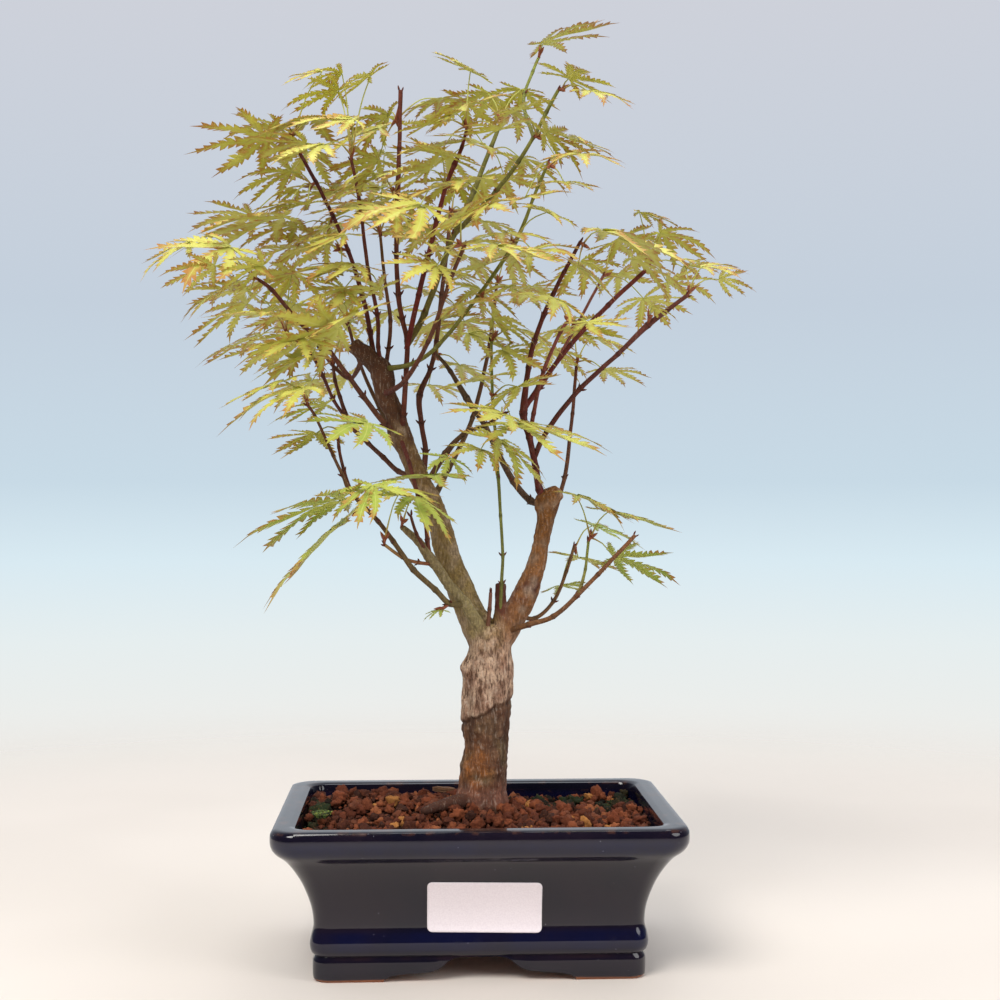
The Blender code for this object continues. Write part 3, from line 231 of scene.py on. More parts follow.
def at(x, z, y):
    """The point in metres that lies y behind the elevation, on the sight line through (x, z)."""
    far = (y - EYE[1]) / -EYE[1]
    lift = RIM_HEIGHT - DRAWN_HEIGHT
    return Vector((EYE[0] + (x - EYE[0]) * far, y, EYE[2] + (z - EYE[2]) * far + lift)) / 1000


def leaf_frame(hub, heading, tilt, roll):
    """+X runs along the middle lobe and +Z is the leaf's upper side."""
    turn = Matrix.Rotation(heading, 4, "Z") @ Matrix.Rotation(tilt, 4, "Y") @ Matrix.Rotation(roll, 4, "X")
    return Matrix.Translation(hub) @ turn


def leaf_rim(reach, droop, tip=1.0):
    """Seven or five lobe tips with a notch after each, as (x, y, z) about the hub."""
    half = LOBES[:3] if reach < SMALL / 1000 else LOBES
    lobes = [(-a, r) for a, r in reversed(half[1:])] + list(half)
    rim = []
    for i, (angle, length) in enumerate(lobes):
        after = lobes[i + 1][0] if i + 1 < len(lobes) else 360 + lobes[0][0]
        notch = .3 if i + 1 < len(lobes) else .1
        for turn, r in ((angle, length * tip), ((angle + after) / 2, notch)):
            turn = math.radians(turn)
            rim.append(Vector((math.cos(turn) * r, math.sin(turn) * r, -droop * r * r)) * reach)
    return rim


def stalk(start, hub, bow):
    """A leaf stalk: it leaves the shoot steeply and bends over into the hub."""
    lift = Vector((0, 0, 1)) * (hub - start).length * bow
    return [start, start.lerp(hub, .5) + lift, hub]


def ground(x, y):
    """Height of the soil at a place, in mm: mounded at the trunk and at the left, lumpy all over."""
    height = 67.0
    height += 7.0 * math.exp(-((x - 1) ** 2 + (y + 2) ** 2) / 30 ** 2)
    height += 8.5 * math.exp(-(((x + 62) / 26) ** 2 + ((y - 8) / 26) ** 2))
    height += 3.0 * math.exp(-(((x + 25) / 28) ** 2 + ((y - 4) / 30) ** 2))
    height -= 2.5 * math.exp(-(((x - 48) / 34) ** 2 + ((y - 34) / 18) ** 2))
    lumps = noise.noise(Vector((x, y, 0)) / 8) * 1.1 + noise.noise(Vector((x, y, 40)) / 17) * 1.4
    return raised(height + lumps)


def outline(inset, segments=32):
    """Points round a rounded oblong that lies inset inside the rim, in mm."""
    half_x, half_y = RIM_LENGTH / 2 - inset, RIM_WIDTH / 2 - inset
    corner = max(RIM_CORNER - inset * .25, 4)
    points = []
    per = segments // 4
    for quarter in range(4):
        cx = (half_x - corner) * (1 if quarter in (0, 3) else -1)
        cy = (half_y - corner) * (1 if quarter in (0, 1) else -1)
        steps = per - 3
        for i in range(steps + 1):
            angle = math.radians(90 * quarter + 90 * i / steps)
            points.append((cx + corner * math.cos(angle), cy + corner * math.sin(angle)))
        ends = points[-1]
        span = half_x if quarter % 2 == 0 else half_y
        for k in (1, 2):
            share = span * 2 - corner * 2
            step = share * k / 3
            points.append((ends[0] - step, ends[1]) if quarter == 0 else
                          (ends[0], ends[1] - step) if quarter == 1 else
                          (ends[0] + step, ends[1]) if quarter == 2 else (ends[0], ends[1] + step))
    return points


WALL = [(20.0, 0), (18.8, 1.4), (18.7, 10.2), (19.7, 11.8), (18.1, 13.4), (17.3, 17.4), (18.2, 22.4),
        (19, 26), (18, 34.5), (14.4, 45), (10.4, 52.5), (6.4, 58), (2.0, 62), (0, 66), (0, 71.4), (.9, 73)]
LIP = [(2.4, 73.5), (9.0, 73.5), (10.8, 72.7), (11.6, 70.5)]
INSIDE = [(12.4, 61), (16.5, 51), (22.5, 36), (24.5, 24), (27.2, FLOOR_TOP)]


def raised(z):
    """A height above the foot moves with the rim's height."""
    stretch = (RIM_HEIGHT - FOOT_HEIGHT) / (DRAWN_HEIGHT - FOOT_HEIGHT)
    return z if z <= FOOT_HEIGHT else FOOT_HEIGHT + (z - FOOT_HEIGHT) * stretch


# ------------------------------------------------------------------ small tools
def tone(code):
    """A linear colour from six hex digits."""
    parts = [int(code[i:i + 2], 16) / 255 for i in (0, 2, 4)]
    return Vector([p / 12.92 if p <= .04045 else ((p + .055) / 1.055) ** 2.4 for p in parts])


class Look:
    """A Principled material with short calls for the nodes used here."""

    def __init__(self, name, rough=.5, **sockets):
        self.made = bpy.data.materials.new(name)
        self.made.use_nodes = True
        self.tree = self.made.node_tree
        self.shader = self.tree.nodes["Principled BSDF"]
        self.shader.inputs["Roughness"].default_value = rough
        for key, value in sockets.items():
            self.shader.inputs[key.replace("_", " ")].default_value = value
        self.where = self.add("ShaderNodeTexCoord").outputs["Object"]

    def add(self, kind, **settings):
        node = self.tree.nodes.new(kind)
        for key, value in settings.items():
            setattr(node, key, value)
        return node

    def join(self, source, socket):
        self.tree.links.new(source, socket)

    def feed(self, node, key, value):
        socket = node.inputs[key]
        if isinstance(value, bpy.types.NodeSocket):
            self.join(value, socket)
        elif isinstance(value, (tuple, list, Vector)):
            opaque = len(socket.default_value) == 4 and len(value) == 3
            socket.default_value = (*value, 1) if opaque else value
        else:
            socket.default_value = value

    def math(self, what, a, b=0.0):
        node = self.add("ShaderNodeMath", operation=what)
        self.feed(node, 0, a)
        self.feed(node, 1, b)
        return node.outputs[0]

    def times(self, a, b):
        return self.math("MULTIPLY", a, b)

    def plus(self, a, b):
        return self.math("ADD", a, b)

    def most(self, a, b):
        return self.math("MAXIMUM", a, b)

    def ramp(self, value, low, high, out_low=0.0, out_high=1.0):
        node = self.add("ShaderNodeMapRange", interpolation_type="SMOOTHSTEP")
        for key, given in enumerate((value, low, high, out_low, out_high)):
            self.feed(node, key, given)
        return node.outputs[0]

    def mix(self, share, a, b):
        node = self.add("ShaderNodeMix", data_type="RGBA")
        self.feed(node, 0, share)
        self.feed(node, 6, a)
        self.feed(node, 7, b)
        return node.outputs[2]

    def spread(self, scale):
        """Object coordinates stretched by (x, y, z)."""
        node = self.add("ShaderNodeMapping")
        self.join(self.where, node.inputs["Vector"])
        node.inputs["Scale"].default_value = scale
        return node.outputs[0]

    def noise(self, scale, detail=4.0, rough=.55, along=None):
        node = self.add("ShaderNodeTexNoise")
        self.join(along or self.where, node.inputs["Vector"])
        node.inputs["Scale"].default_value = scale
        node.inputs["Detail"].default_value = detail
        node.inputs["Roughness"].default_value = rough
        return node.outputs["Fac"]

    def cells(self, scale, along=None):
        """Distance to the nearest of scattered points."""
        node = self.add("ShaderNodeTexVoronoi")
        self.join(along or self.where, node.inputs["Vector"])
        node.inputs["Scale"].default_value = scale
        return node.outputs["Distance"]

    def stored(self, name):
        return self.add("ShaderNodeAttribute", attribute_name=name).outputs["Color"]

    def parts(self, colour):
        node = self.add("ShaderNodeSeparateColor")
        self.join(colour, node.inputs[0])
        return node.outputs

    def axis(self, which):
        node = self.add("ShaderNodeSeparateXYZ")
        self.join(self.where, node.inputs[0])
        return node.outputs[which]

    def facing(self):
        """Height part of the surface normal."""
        node = self.add("ShaderNodeSeparateXYZ")
        self.join(self.add("ShaderNodeNewGeometry").outputs["Normal"], node.inputs[0])
        return node.outputs["Z"]

    def bump(self, height, distance, strength=1.0):
        node = self.add("ShaderNodeBump")
        self.join(height, node.inputs["Height"])
        node.inputs["Distance"].default_value = distance
        node.inputs["Strength"].default_value = strength
        if self.shader.inputs["Normal"].is_linked:
            self.join(self.shader.inputs["Normal"].links[0].from_socket, node.inputs["Normal"])
        self.join(node.outputs[0], self.shader.inputs["Normal"])

    def colour(self, value):
        self.feed(self.shader, "Base Color", value)

    def rough(self, value):
        self.feed(self.shader, "Roughness", value)


def put(name, data):
    """A new object, linked to the scene."""
    obj = bpy.data.objects.new(name, data)
    bpy.context.scene.collection.objects.link(obj)
    return obj


def baked(name, work):
    """The mesh that a bmesh holds."""
    mesh = bpy.data.meshes.new(name)
    work.to_mesh(mesh)
    work.free()
    return mesh


def evaluated(obj):
    """The object's mesh with its modifiers applied; the object itself is removed."""
    bpy.context.view_layer.update()
    mesh = bpy.data.meshes.new_from_object(obj.evaluated_get(bpy.context.evaluated_depsgraph_get()))
    bpy.data.objects.remove(obj)
    return mesh


def show(name, mesh, look, node):
    """A piece of the object in the row frame, standing for its CAD node."""
    obj = put(name, mesh)
    mesh.materials.clear()
    mesh.materials.append(look.made)
    mesh.polygons.foreach_set("use_smooth", [True] * len(mesh.polygons))
    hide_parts(node)
    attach(obj, "root")


def from_lists(name, points, faces, colours=None):
    mesh = bpy.data.meshes.new(name)
    mesh.from_pydata([tuple(p) for p in points], [], faces)
    mesh.update()
    if colours is not None:
        paint(mesh, colours)
    return mesh


def paint(mesh, colours, name="tint"):
    layer = mesh.color_attributes.new(name, "FLOAT_COLOR", "POINT")
    flat = np.ones((len(mesh.vertices), 4), np.float32)
    flat[:, :3] = np.asarray(colours, np.float32)
    layer.data.foreach_set("color", flat.ravel())


def through(points, step):
    """A Catmull-Rom curve through (place, radius) points, with a point about every step metres."""
    result = []
    for i in range(len(points) - 1):
        a, b = points[max(i - 1, 0)], points[i]
        c, d = points[i + 1], points[min(i + 2, len(points) - 1)]
        count = max(1, round((c[0] - b[0]).length / step))
        for k in range(count):
            t = k / count
            w = (-.5 * t + t * t - .5 * t ** 3, 1 - 2.5 * t * t + 1.5 * t ** 3,
                 .5 * t + 2 * t * t - 1.5 * t ** 3, -.5 * t * t + .5 * t ** 3)
            place = a[0] * w[0] + b[0] * w[1] + c[0] * w[2] + d[0] * w[3]
            result.append((place, b[1] + (c[1] - b[1]) * (t * t * (3 - 2 * t))))
    return result + [points[-1]]


def pipe(path, sides, points, faces, end=.35):
    """Adds a round tube with slightly domed ends along (place, radius) points; returns its rings."""
    turn = (path[1][0] - path[0][0]).to_track_quat("Z", "Y")
    before = (path[1][0] - path[0][0]).normalized()
    rings = []
    for i, (place, radius) in enumerate(path):
        ahead = (path[min(i + 1, len(path) - 1)][0] - path[max(i - 1, 0)][0]).normalized()
        turn = before.rotation_difference(ahead) @ turn
        before = ahead
        ring = []
        for k in range(sides):
            angle = k * math.tau / sides
            ring.append(len(points))
            points.append(place + turn @ Vector((math.cos(angle), math.sin(angle), 0)) * radius)
        rings.append(ring)
        if i:
            for k in range(sides):
                faces.append((rings[-2][k], rings[-2][(k + 1) % sides], ring[(k + 1) % sides], ring[k]))
    for ring, sign, (place, radius) in ((rings[0], -1, path[0]), (rings[-1], 1, path[-1])):
        ahead = (path[1][0] - path[0][0]) if sign < 0 else (path[-1][0] - path[-2][0])
        tip = len(points)
        points.append(place + ahead.normalized() * radius * end * sign)
        for k in range(sides):
            face = (ring[k], ring[(k + 1) % sides], tip)
            faces.append(face if sign > 0 else face[::-1])
        ring.append(tip)
    return rings


def world(points):
    """A branch's table points in the row frame, in metres."""
    return [(at(x, z, y) + SHIFT, max(r, .5) / 1000) for x, z, y, r in points]


# ------------------------------------------------------------------ wood
TINTS = {  # bark colour at a branch's base and at its end
    "trunk": ("5c483a", "7d6a48"), "root": ("5a3424", "4a2a1e"), "left": ("9a8650", "845a3c"),
    "right": ("94643e", "94602e"), "stub_a": ("6a3628", "5c2c24"), "stub_b": ("7a5438", "8a5646"),
    "thread": ("76763a", "8c9440"), "side": ("a09262", "927e58"), "side_red": ("743c2e", "6a302a"),
    "side_bit": ("6c3c2a", "5e3226"), "arch": ("8a4a34", "a8824a"), "low": ("7a6a40", "70402c"),
    "low_b": ("6c3a2e", "703828"), "knob_left": ("6e4430", "662e26"), "mast": ("6a3428", "6e3426"),
    "d": ("6c4432", "66362c"), "d_b": ("6a362e", "602c24"), "e": ("6c4432", "62322a"),
    "v1": ("6a3028", "6c3428"), "v2": ("6c3a2e", "76502f"), "v3": ("662a24", "62282a"),
    "v9": ("7a7636", "90903c"), "v5": ("66342a", "6c4430"), "v6": ("722620", "742c24"),
    "v7": ("74662f", "80803a"), "v8": ("766c30", "888a3e"), "top": ("80803a", "98a048"),
    "a": ("682a24", "6c3028"), "a2": ("70261e", "722c22"), "a3": ("8a4440", "98524a"),
    "a3b": ("7c3c34", "8a5040"), "a4": ("64302a", "6c3a30"), "b": ("5c4432", "685038"),
    "f": ("60422e", "6c5034"), "r1": ("76502f", "8e5c3a"), "r2": ("76502f", "845e38"),
    "r3": ("84743c", "98a04c"), "back_l": ("685430", "66362c"), "back_r": ("76502f", "683428"),
    "back_c": ("685430", "683428"), "front_c": ("6a362e", "70442e"),
}
STOUT = ("trunk", "root", "left", "right", "stub_a", "side")
SLIM = {"low": .62, "low_b": .75}  # how much slimmer than its CAD solid a twig is, where it isn't .87


def clip(value):
    return max(0.0, min(1.0, value))


def bark_tint(name, share, place):
    """Bark colour, and how fissured and how spotted it is, by branch and place."""
    first, last = (tone(code) for code in TINTS[name])
    colour = first.lerp(last, share)
    p = (place - SHIFT) * 1000
    speck = noise.noise(p / 5)
    kind = (.3, .35, 0)
    if name == "trunk":
        ledge = 120 + (p.x - 4) * .46 + noise.noise(p / 3.5) * 2.2
        colour = tone("63402c").lerp(tone("7d5a42"), clip(.5 + noise.noise(p / 6) * 1.3))
        colour = colour.lerp(tone("66603c"), clip(noise.noise(p / 9 + Vector((3, 0, 5))) * 1.6 - .1) * .6)
        rust = math.exp(-((p.x + .5) / 6.5) ** 2 - ((p.z - 91) / 11) ** 2) * (1 if p.y < 0 else .3)
        colour = colour.lerp(tone("b0682a"), clip(rust * (.95 + speck * 1.6)))
        colour = colour.lerp(tone("98604e"), clip(1.5 - abs(p.z - 78) / 6) * .7)
        above = clip((p.z - ledge) / 1.6)
        pale = tone("c0a086").lerp(tone("94705a"), clip(.4 + speck * 1.7))
        colour = colour.lerp(pale, above)
        kind = (.55 + .45 * above, .35 * (1 - above), 0)
        olive = clip((p.z - 150 + speck * 14 - abs(p.x - 8) * .5) / 14)
        colour = colour.lerp(tone("8a7844"), olive * .75)
    elif name == "left":
        colour = colour.lerp(tone("b09a80"), clip(noise.noise(p / 7 + Vector((9, 0, 0))) * 1.8) * .6)
        colour = colour.lerp(tone("a88a6e"), clip((178 - p.z + speck * 16) / 26) * .7)
        colour = colour.lerp(tone("54301f"), clip((p.z - 240 + speck * 16) / 26) * .85)
        kind = (.5, clip(.45 + (p.x + (p.z - 160) * .42) / 14) * .9, 0)
    elif name == "right":
        scar = math.exp(-((p.z - 180) / 5.5) ** 2) * clip(.6 + speck * 2)
        colour = colour.lerp(tone("5a2418"), scar)
        colour = colour.lerp(tone("b09a84"), clip(noise.noise(p / 5 + Vector((0, 7, 0))) * 1.8) * .55)
        kind = (.5, .8, 0)
    elif name in ("side", "stub_a"):
        kind = (.4, .5, 0)
    return colour, Vector(kind)


def bark_push(name, share, p):
    """How far the bark stands out in mm."""
    if name == "trunk":
        angle = math.atan2(p.x - 4, -p.y)
        turn = Vector((math.cos(angle), math.sin(angle), 0))
        ridge = noise.noise(turn * 3.4 + Vector((0, 0, p.z / 12)))
        fine = noise.noise(turn * 9 + Vector((0, 4, p.z / 5)))
        ledge = 120 + (p.x - 4) * .46 + noise.noise(p / 3.5) * 2.2
        above = 1 / (1 + math.exp(-(p.z - ledge) / .5))
        push = ridge * 1.0 + fine * .45 + above * .7 - .3
        push += (1 - above) * noise.noise(Vector((p.x / 9, p.y / 9, p.z / 2.6))) * .5
        if p.x < -2:
            push += math.exp(-((p.z - 141) / 3.4) ** 2 - ((p.y + 3) / 4) ** 2) * 2.0
        return push - math.exp(-((p.z - ledge + 1.2) / 1.3) ** 2) * .7
    if name in ("left", "right", "side"):
        ring = math.sin(share * (46 if name == "left" else 30) + noise.noise(p / 11) * 2.5)
        return noise.noise(p / 9) * .5 + noise.noise(p / 2.6) * .28 + max(0, ring - .82) * .9
    return noise.noise(p / 4) * .35


def closest(place, marks):
    """Distance to the nearest knot of a twig."""
    return min(((place - mark).length for mark in marks), default=1)


def wood_mesh():
    """Stout limbs melted together by a voxel remesh and carved with bark, then the twigs on them."""
    points, faces, samples = [], [], []
    for name in STOUT:
        path = through(world(TREE[name]), .0015)
        if name == "stub_a":
            path = [(place, radius * 1.3) for place, radius in path]
        pipe(path, 28, points, faces, .1 if name == "stub_a" else .35)
        for i, (place, radius) in enumerate(path):
            share = i / (len(path) - 1)
            if share > {"stub_a": .4, "side": .12, "root": .12}.get(name, 0):
                samples.append((place, radius, name, share))
    rough = put("wood_rough", from_lists("wood", points, faces))
    melt = rough.modifiers.new("melt", "REMESH")
    melt.mode, melt.voxel_size = "VOXEL", .0006
    calm = rough.modifiers.new("calm", "SMOOTH")
    calm.factor, calm.iterations = .5, 7
    mesh = evaluated(rough)
    near = KDTree(len(samples))
    for i, sample in enumerate(samples):
        near.insert(sample[0], i)
    near.balance()
    colours, kinds, places = [], [], []
    normals = np.empty(len(mesh.vertices) * 3, np.float32)
    mesh.vertices.foreach_get("normal", normals)
    normals = normals.reshape(-1, 3)
    for vert, normal in zip(mesh.vertices, normals):
        best = {}
        for _, i, far in near.find_n(vert.co, 14):
            place, radius, name, share = samples[i]
            score = far - radius
            if name not in best or score < best[name][0]:
                best[name] = (score, share)
        low = min(score for score, _ in best.values())
        p = (vert.co - SHIFT) * 1000
        total, push, colour, kind = 0.0, 0.0, Vector((0, 0, 0)), Vector((0, 0, 0))
        for name, (score, share) in best.items():
            weight = math.exp(-(score - low) / .0016)
            if weight < .04:
                continue
            tint, grade = bark_tint(name, share, vert.co)
            colour += tint * weight
            kind += grade * weight
            push += bark_push(name, share, p) * weight
            total += weight
        push = push / total + noise.noise(p / 1.4) * .14
        places.append(vert.co + Vector(normal) * push / 1000)
        # painted highlight and painted shade: the tint is lighter where the bark stands out and darker
        # where it sinks
        colours.append(colour / total * (1 + max(-.45, min(.35, push * .38))))
        kinds.append(kind / total)
    for vert, place in zip(mesh.vertices, places):
        vert.co = place
    points = [v.co.copy() for v in mesh.vertices]
    faces = [tuple(p.vertices) for p in mesh.polygons]
    rng = random.Random(SEED + 5)
    for name, table in TREE.items():
        if name in STOUT:
            continue
        slim = SLIM.get(name, .87)
        knots = [(place, radius * slim) for place, radius in world(table)]
        path = through(knots, .0014)
        marks = [place for place, radius in knots[1:-1]]
        swell = [1 + .24 * math.exp(-(closest(place, marks) / .0011) ** 2) for place, _ in path]
        path = [(place + noise.noise_vector(place * 90) * .00022, radius * more)
                for (place, radius), more in zip(path, swell)]
        rings = pipe(path, 9, points, faces)
        for i, ring in enumerate(rings):
            colour = bark_tint(name, i / (len(rings) - 1), path[i][0])[0]
            dark = .45 * math.exp(-(closest(path[i][0], marks) / .0009) ** 2)
            colour = colour * (1 - dark) * (1 + .3 * noise.noise(path[i][0] * 160))
            colours += [colour] * len(ring)
            kinds += [Vector((.15, .3, 0))] * len(ring)
        for mark in marks[:-1] + [path[-1][0]]:
            if rng.random() < .6 or mark == path[-1][0]:
                i = min(range(len(path)), key=lambda k: (path[k][0] - mark).length)
                ahead = (path[min(i + 1, len(path) - 1)][0] - path[max(i - 1, 0)][0]).normalized()
                side = ahead.orthogonal().normalized()
                side.rotate(Matrix.Rotation(rng.uniform(0, math.tau), 3, ahead))
                for sign in (1, -1):
                    start = mark + side * sign * path[i][1] * .7
                    lean = (side * sign * (.3 if mark == path[-1][0] else .8) + ahead).normalized()
                    size = rng.uniform(.6, 1.0) / 1000
                    bud = [(start, size * .5), (start + lean * size, size * .62),
                           (start + lean * size * 2, size * .45), (start + lean * size * 2.9, size * .12)]
                    for ring in pipe(bud, 7, points, faces):
                        colours += [tone("6e3426") * rng.uniform(.7, 1.1)] * len(ring)
                        kinds += [Vector((.1, 0, 0))] * len(ring)
    mesh = from_lists("wood", points, faces, colours)
    paint(mesh, kinds, "kind")
    return mesh


bark = Look("bark", .82, Specular_IOR_Level=.3)
tint = bark.stored("tint")
fissured, spotted = bark.parts(bark.stored("kind"))[:2]
streak = bark.noise(1, 6, .62, bark.spread((760, 760, 190)))
thread = bark.noise(1, 5, .6, bark.spread((1700, 1700, 330)))
grain = bark.noise(900, 5)
blotch = bark.noise(120, 4)
# dark fissures where the streaks run low: partly the bark's own colour and partly painted shade
dark = bark.times(bark.ramp(bark.plus(streak, bark.times(thread, .5)), .76, .64), fissured)
# painted highlight: pale bark mixed in on the ridges where the streaks run high
painted_ridge_highlight = bark.times(bark.ramp(bark.plus(streak, bark.times(thread, .5)), .78, .96), fissured)
colour = bark.mix(bark.times(dark, .8), tint, tone("4c2e20"))
colour = bark.mix(bark.times(painted_ridge_highlight, .6), colour, tone("dcc6b2"))
pores = bark.cells(1, along=bark.spread((520, 520, 1150)))
pores = bark.times(bark.ramp(pores, .1, .2, .8, 0), bark.times(spotted, bark.ramp(blotch, .42, .56)))
colour = bark.mix(pores, colour, tone("b9a58e"))
colour = bark.mix(bark.ramp(grain, .35, .7, .35, 0), colour, tone("2e1e16"))
bark.colour(colour)
bark.rough(bark.ramp(grain, .3, .7, .62, .92))
bark.bump(streak, .0011, .7)
bark.bump(thread, .0005, .6)
bark.bump(grain, .0003, .5)
show("wood", wood_mesh(), bark, "trunk_and_branches")


# ------------------------------------------------------------------ leaves
def lobe_edge(s):
    """Half width of a lobe at s along it, as a share of its length: drawn out at the tip."""
    return .016 + .30 * max(s, 0) ** .8 * max(0, 1 - s) ** .8


class Shoot:
    """Collects one shoot's points, faces and tints, with each face's cell in the texture."""

    def __init__(self, cells):
        self.points, self.faces, self.look, self.spots, self.cells = [], [], [], [], []
        self.side = max(1, math.ceil(math.sqrt(cells)))
        self.cell = 0

    def add(self, point, look, spot):
        self.points.append(point)
        self.look.append(look)
        self.spots.append(spot)
        return len(self.points) - 1

    def join(self, *faces, cell=0):
        self.faces += faces
        self.cells += [self.cell + cell] * len(faces)

    def mesh(self, name):
        mesh = from_lists(name, self.points, self.faces, self.look)
        mesh.set_sharp_from_angle(angle=math.radians(75))
        uv = mesh.uv_layers.new(name="OFBake")
        flat = []
        for face, cell in zip(self.faces, self.cells):
            row, column = divmod(cell, self.side)
            for vert in face:
                u, v = self.spots[vert]
                flat += [(column + .03 + u * .94) / self.side, (row + .03 + v * .94) / self.side]
        uv.data.foreach_set("uv", flat)
        return mesh


def leaf_solid(shoot, frame_, reach, droop, rng):
    """A cut leaf: thin closed lobes that meet at the hub, folded along the rib, with swept teeth."""
    half = LOBES[:3] if reach < SMALL / 1000 else LOBES
    lobes = [(-a, r) for a, r in reversed(half[1:])] + list(half)
    mood, wave = rng.random(), rng.uniform(0, 9)
    for index, (turn, length) in enumerate(lobes):
        turn = math.radians(turn + rng.uniform(-6, 6))
        length = length * reach * rng.uniform(.94, 1.05)
        teeth = 8 if length > .024 else 7 if length > .015 else 5
        curl, fold, sway = rng.uniform(-.25, .3), rng.uniform(.15, .55), rng.uniform(-.2, .2)
        plump = rng.uniform(.88, 1.12)

        def spot(s, w, edge, lift=0.0):
            """s along the lobe and w across it, as shares of its length."""
            bend = turn + sway * s * s
            x = (math.cos(bend) * s - math.sin(bend) * w) * length
            y = (math.sin(bend) * s + math.cos(bend) * w) * length
            r = s * length / reach
            z = -droop * r * r * (1 + curl * s) + abs(w) * fold - 1.1 * w * w
            z *= length * (reach / length) ** .5
            z += .014 * math.sin(wave + s * 8 + index * 2 + w * 14) * length
            place = (.5 + x / reach * .44, .5 + y / reach * .44)
            return shoot.add(frame_ @ Vector((x, y, z + lift)), (min(1, s), edge, mood), place)

        hub = spot(0, 0, 0)
        tip = spot(1.04 + .08 * rng.random(), 0, .9)
        rows = []
        for i in range(teeth + 1):
            s = .055 + .87 * (i / teeth) ** .92
            depth = .9 if i == 0 else rng.uniform(.3, .5)
            thick = .00016 * (1 - .6 * s)
            width = lobe_edge(s) * plump
            rows.append((spot(s, 0, 0, thick), spot(s, 0, 0, -thick), spot(s, width * depth, .62),
                         spot(s, -width * depth * rng.uniform(.85, 1.15), .62), s))
        for i in range(teeth):
            top, low, left, right, s = rows[i]
            top2, low2, left2, right2, s2 = rows[i + 1]
            gap = s2 - s
            for near, far, sign in ((left, left2, 1), (right, right2, -1)):
                own = lobe_edge(s + gap * .6) * plump * rng.uniform(.86, 1.22)
                peak = spot(s + gap * rng.uniform(1.0, 1.45), sign * own, 1)
                brow = spot(s + gap * rng.uniform(.42, .6), sign * own * rng.uniform(.66, .82), .86)
                skirt = [(top, top2, far), (top, far, peak), (top, peak, brow), (top, brow, near)]
                under = [(low2 if v == top2 else low if v == top else v for v in face) for face in skirt]
                under = [tuple(face)[::-1] for face in under]
                if sign < 0:
                    skirt, under = [f[::-1] for f in skirt], [f[::-1] for f in under]
                shoot.join(*skirt)
                shoot.join(*under, cell=1)
        top, low, left, right = rows[-1][:4]
        shoot.join((top, tip, left), (tip, top, right))
        shoot.join((tip, low, left), (low, tip, right), cell=1)
        top, low, left, right = rows[0][:4]
        shoot.join((hub, top, left), (top, hub, right))
        shoot.join((low, hub, left), (hub, low, right), cell=1)
    shoot.cell += 2


def shoot_plan(index, start, leaves, rng):
    """Follows the same choices as the CAD shoot, finding which one it took from its solid's corners."""
    solid = frame["nodes"][f"spray_{index:02d}"].data
    corners = KDTree(len(solid.vertices))
    for i, vert in enumerate(solid.vertices):
        corners.insert(vert.co, i)
    corners.balance()

    def kept(place):
        return corners.find(place + SHIFT)[2] < 3e-5

    origin = at(*start)
    middle = sum((at(*leaf[:3]) for leaf in leaves), Vector()) / len(leaves)
    out = (middle - origin).normalized()
    for step in range(1, 60):
        bud = origin + out * (BUD + GAP + step * .0004)
        if kept(bud - out * BUD * 1.35):
            break
    else:
        print("bud of", index, "not found")
    placed = []
    for x, z, y, reach, *pose in leaves:
        aim = at(x, z, y)
        side = Vector((aim.x, aim.y, 0)) + Vector((out.x, out.y, 0)) * .06
        base = math.atan2(side.y, side.x) + rng.uniform(-.6, .6)
        lean, roll, droop = rng.uniform(-.1, .36), rng.uniform(-.5, .5), rng.uniform(.08, .3)
        if pose:
            base, lean = math.radians(pose[0]), math.radians(pose[1])
        for k in range(48):
            shift = Vector((rng.uniform(-1, 1), rng.uniform(-1, 1) * 1.7, rng.uniform(-1, 1))) * .0012 * k
            spin = rng.uniform(-.05, .05) * k
            size = reach * LEAF_SCALE / 1000 * (1 - .006 * k)
            frame_ = leaf_frame(aim + shift, base + spin, lean, roll)
            tips = [frame_ @ p for p in leaf_rim(size, droop)[::2]]
            if sum(map(kept, tips)) >= 2:
                placed.append((Matrix.Translation(SHIFT) @ frame_, size, droop))
                break
    return origin + SHIFT, bud + SHIFT, out, placed


rng = random.Random(SEED)
detail = random.Random(SEED + 11)
plans = [shoot_plan(i + 1, start, leaves, rng) for i, (start, leaves) in enumerate(SHOOTS)]
print("leaves", sum(len(p[3]) for p in plans), "of", sum(len(leaves) for _, leaves in SHOOTS))


def shoot_mesh(index, origin, bud, out, placed):
    """One shoot's leaves, their stalks, its neck from the wood to the bud, and two bud scales."""
    shoot = Shoot(2 * len(placed) + 1)
    tubes = []
    for frame_, reach, droop in placed:
        leaf_solid(shoot, frame_, reach * 1.06, droop, detail)
        hub = frame_ @ Vector((0, 0, -.0003))
        ends = [(bud, STALK * 1.05), (stalk(bud, hub, .14)[1], STALK * .66), (hub, STALK * .55)]
        tubes.append((through(ends, .003), 6, 2))
    tubes.append(([(origin - out * .0008, .0006), (origin.lerp(bud, .5), .0007), (bud, BUD * .9),
                   (bud + out * .0016, BUD * .3)], 8, 3))
    side = out.orthogonal().normalized()
    side.rotate(Matrix.Rotation(detail.uniform(0, math.tau), 3, out))
    for sign in (1, -1):
        lean = (out + side * sign * .55).normalized()
        scale = [(bud - out * .0004, .0006), (bud + lean * .0014, .0010), (bud + lean * .0030, .0007),
                 (bud + lean * .0046, .0001)]
        tubes.append((scale, 7, 3))
    for lane, (path, sides, kind) in enumerate(tubes):
        points, faces = [], []
        rings = pipe(path, sides, points, faces)
        order = {}
        for i, ring in enumerate(rings):
            for k, vert in enumerate(ring):
                u = (lane + .1 + .8 * min(k, sides - 1) / (sides - 1)) / len(tubes)
                order[vert] = shoot.add(points[vert], (i / len(rings), 0, kind), (u, i / (len(rings) - 1)))
        shoot.join(*[tuple(order[v] for v in face) for face in faces])
    return shoot.mesh(f"shoot_{index:02d}")


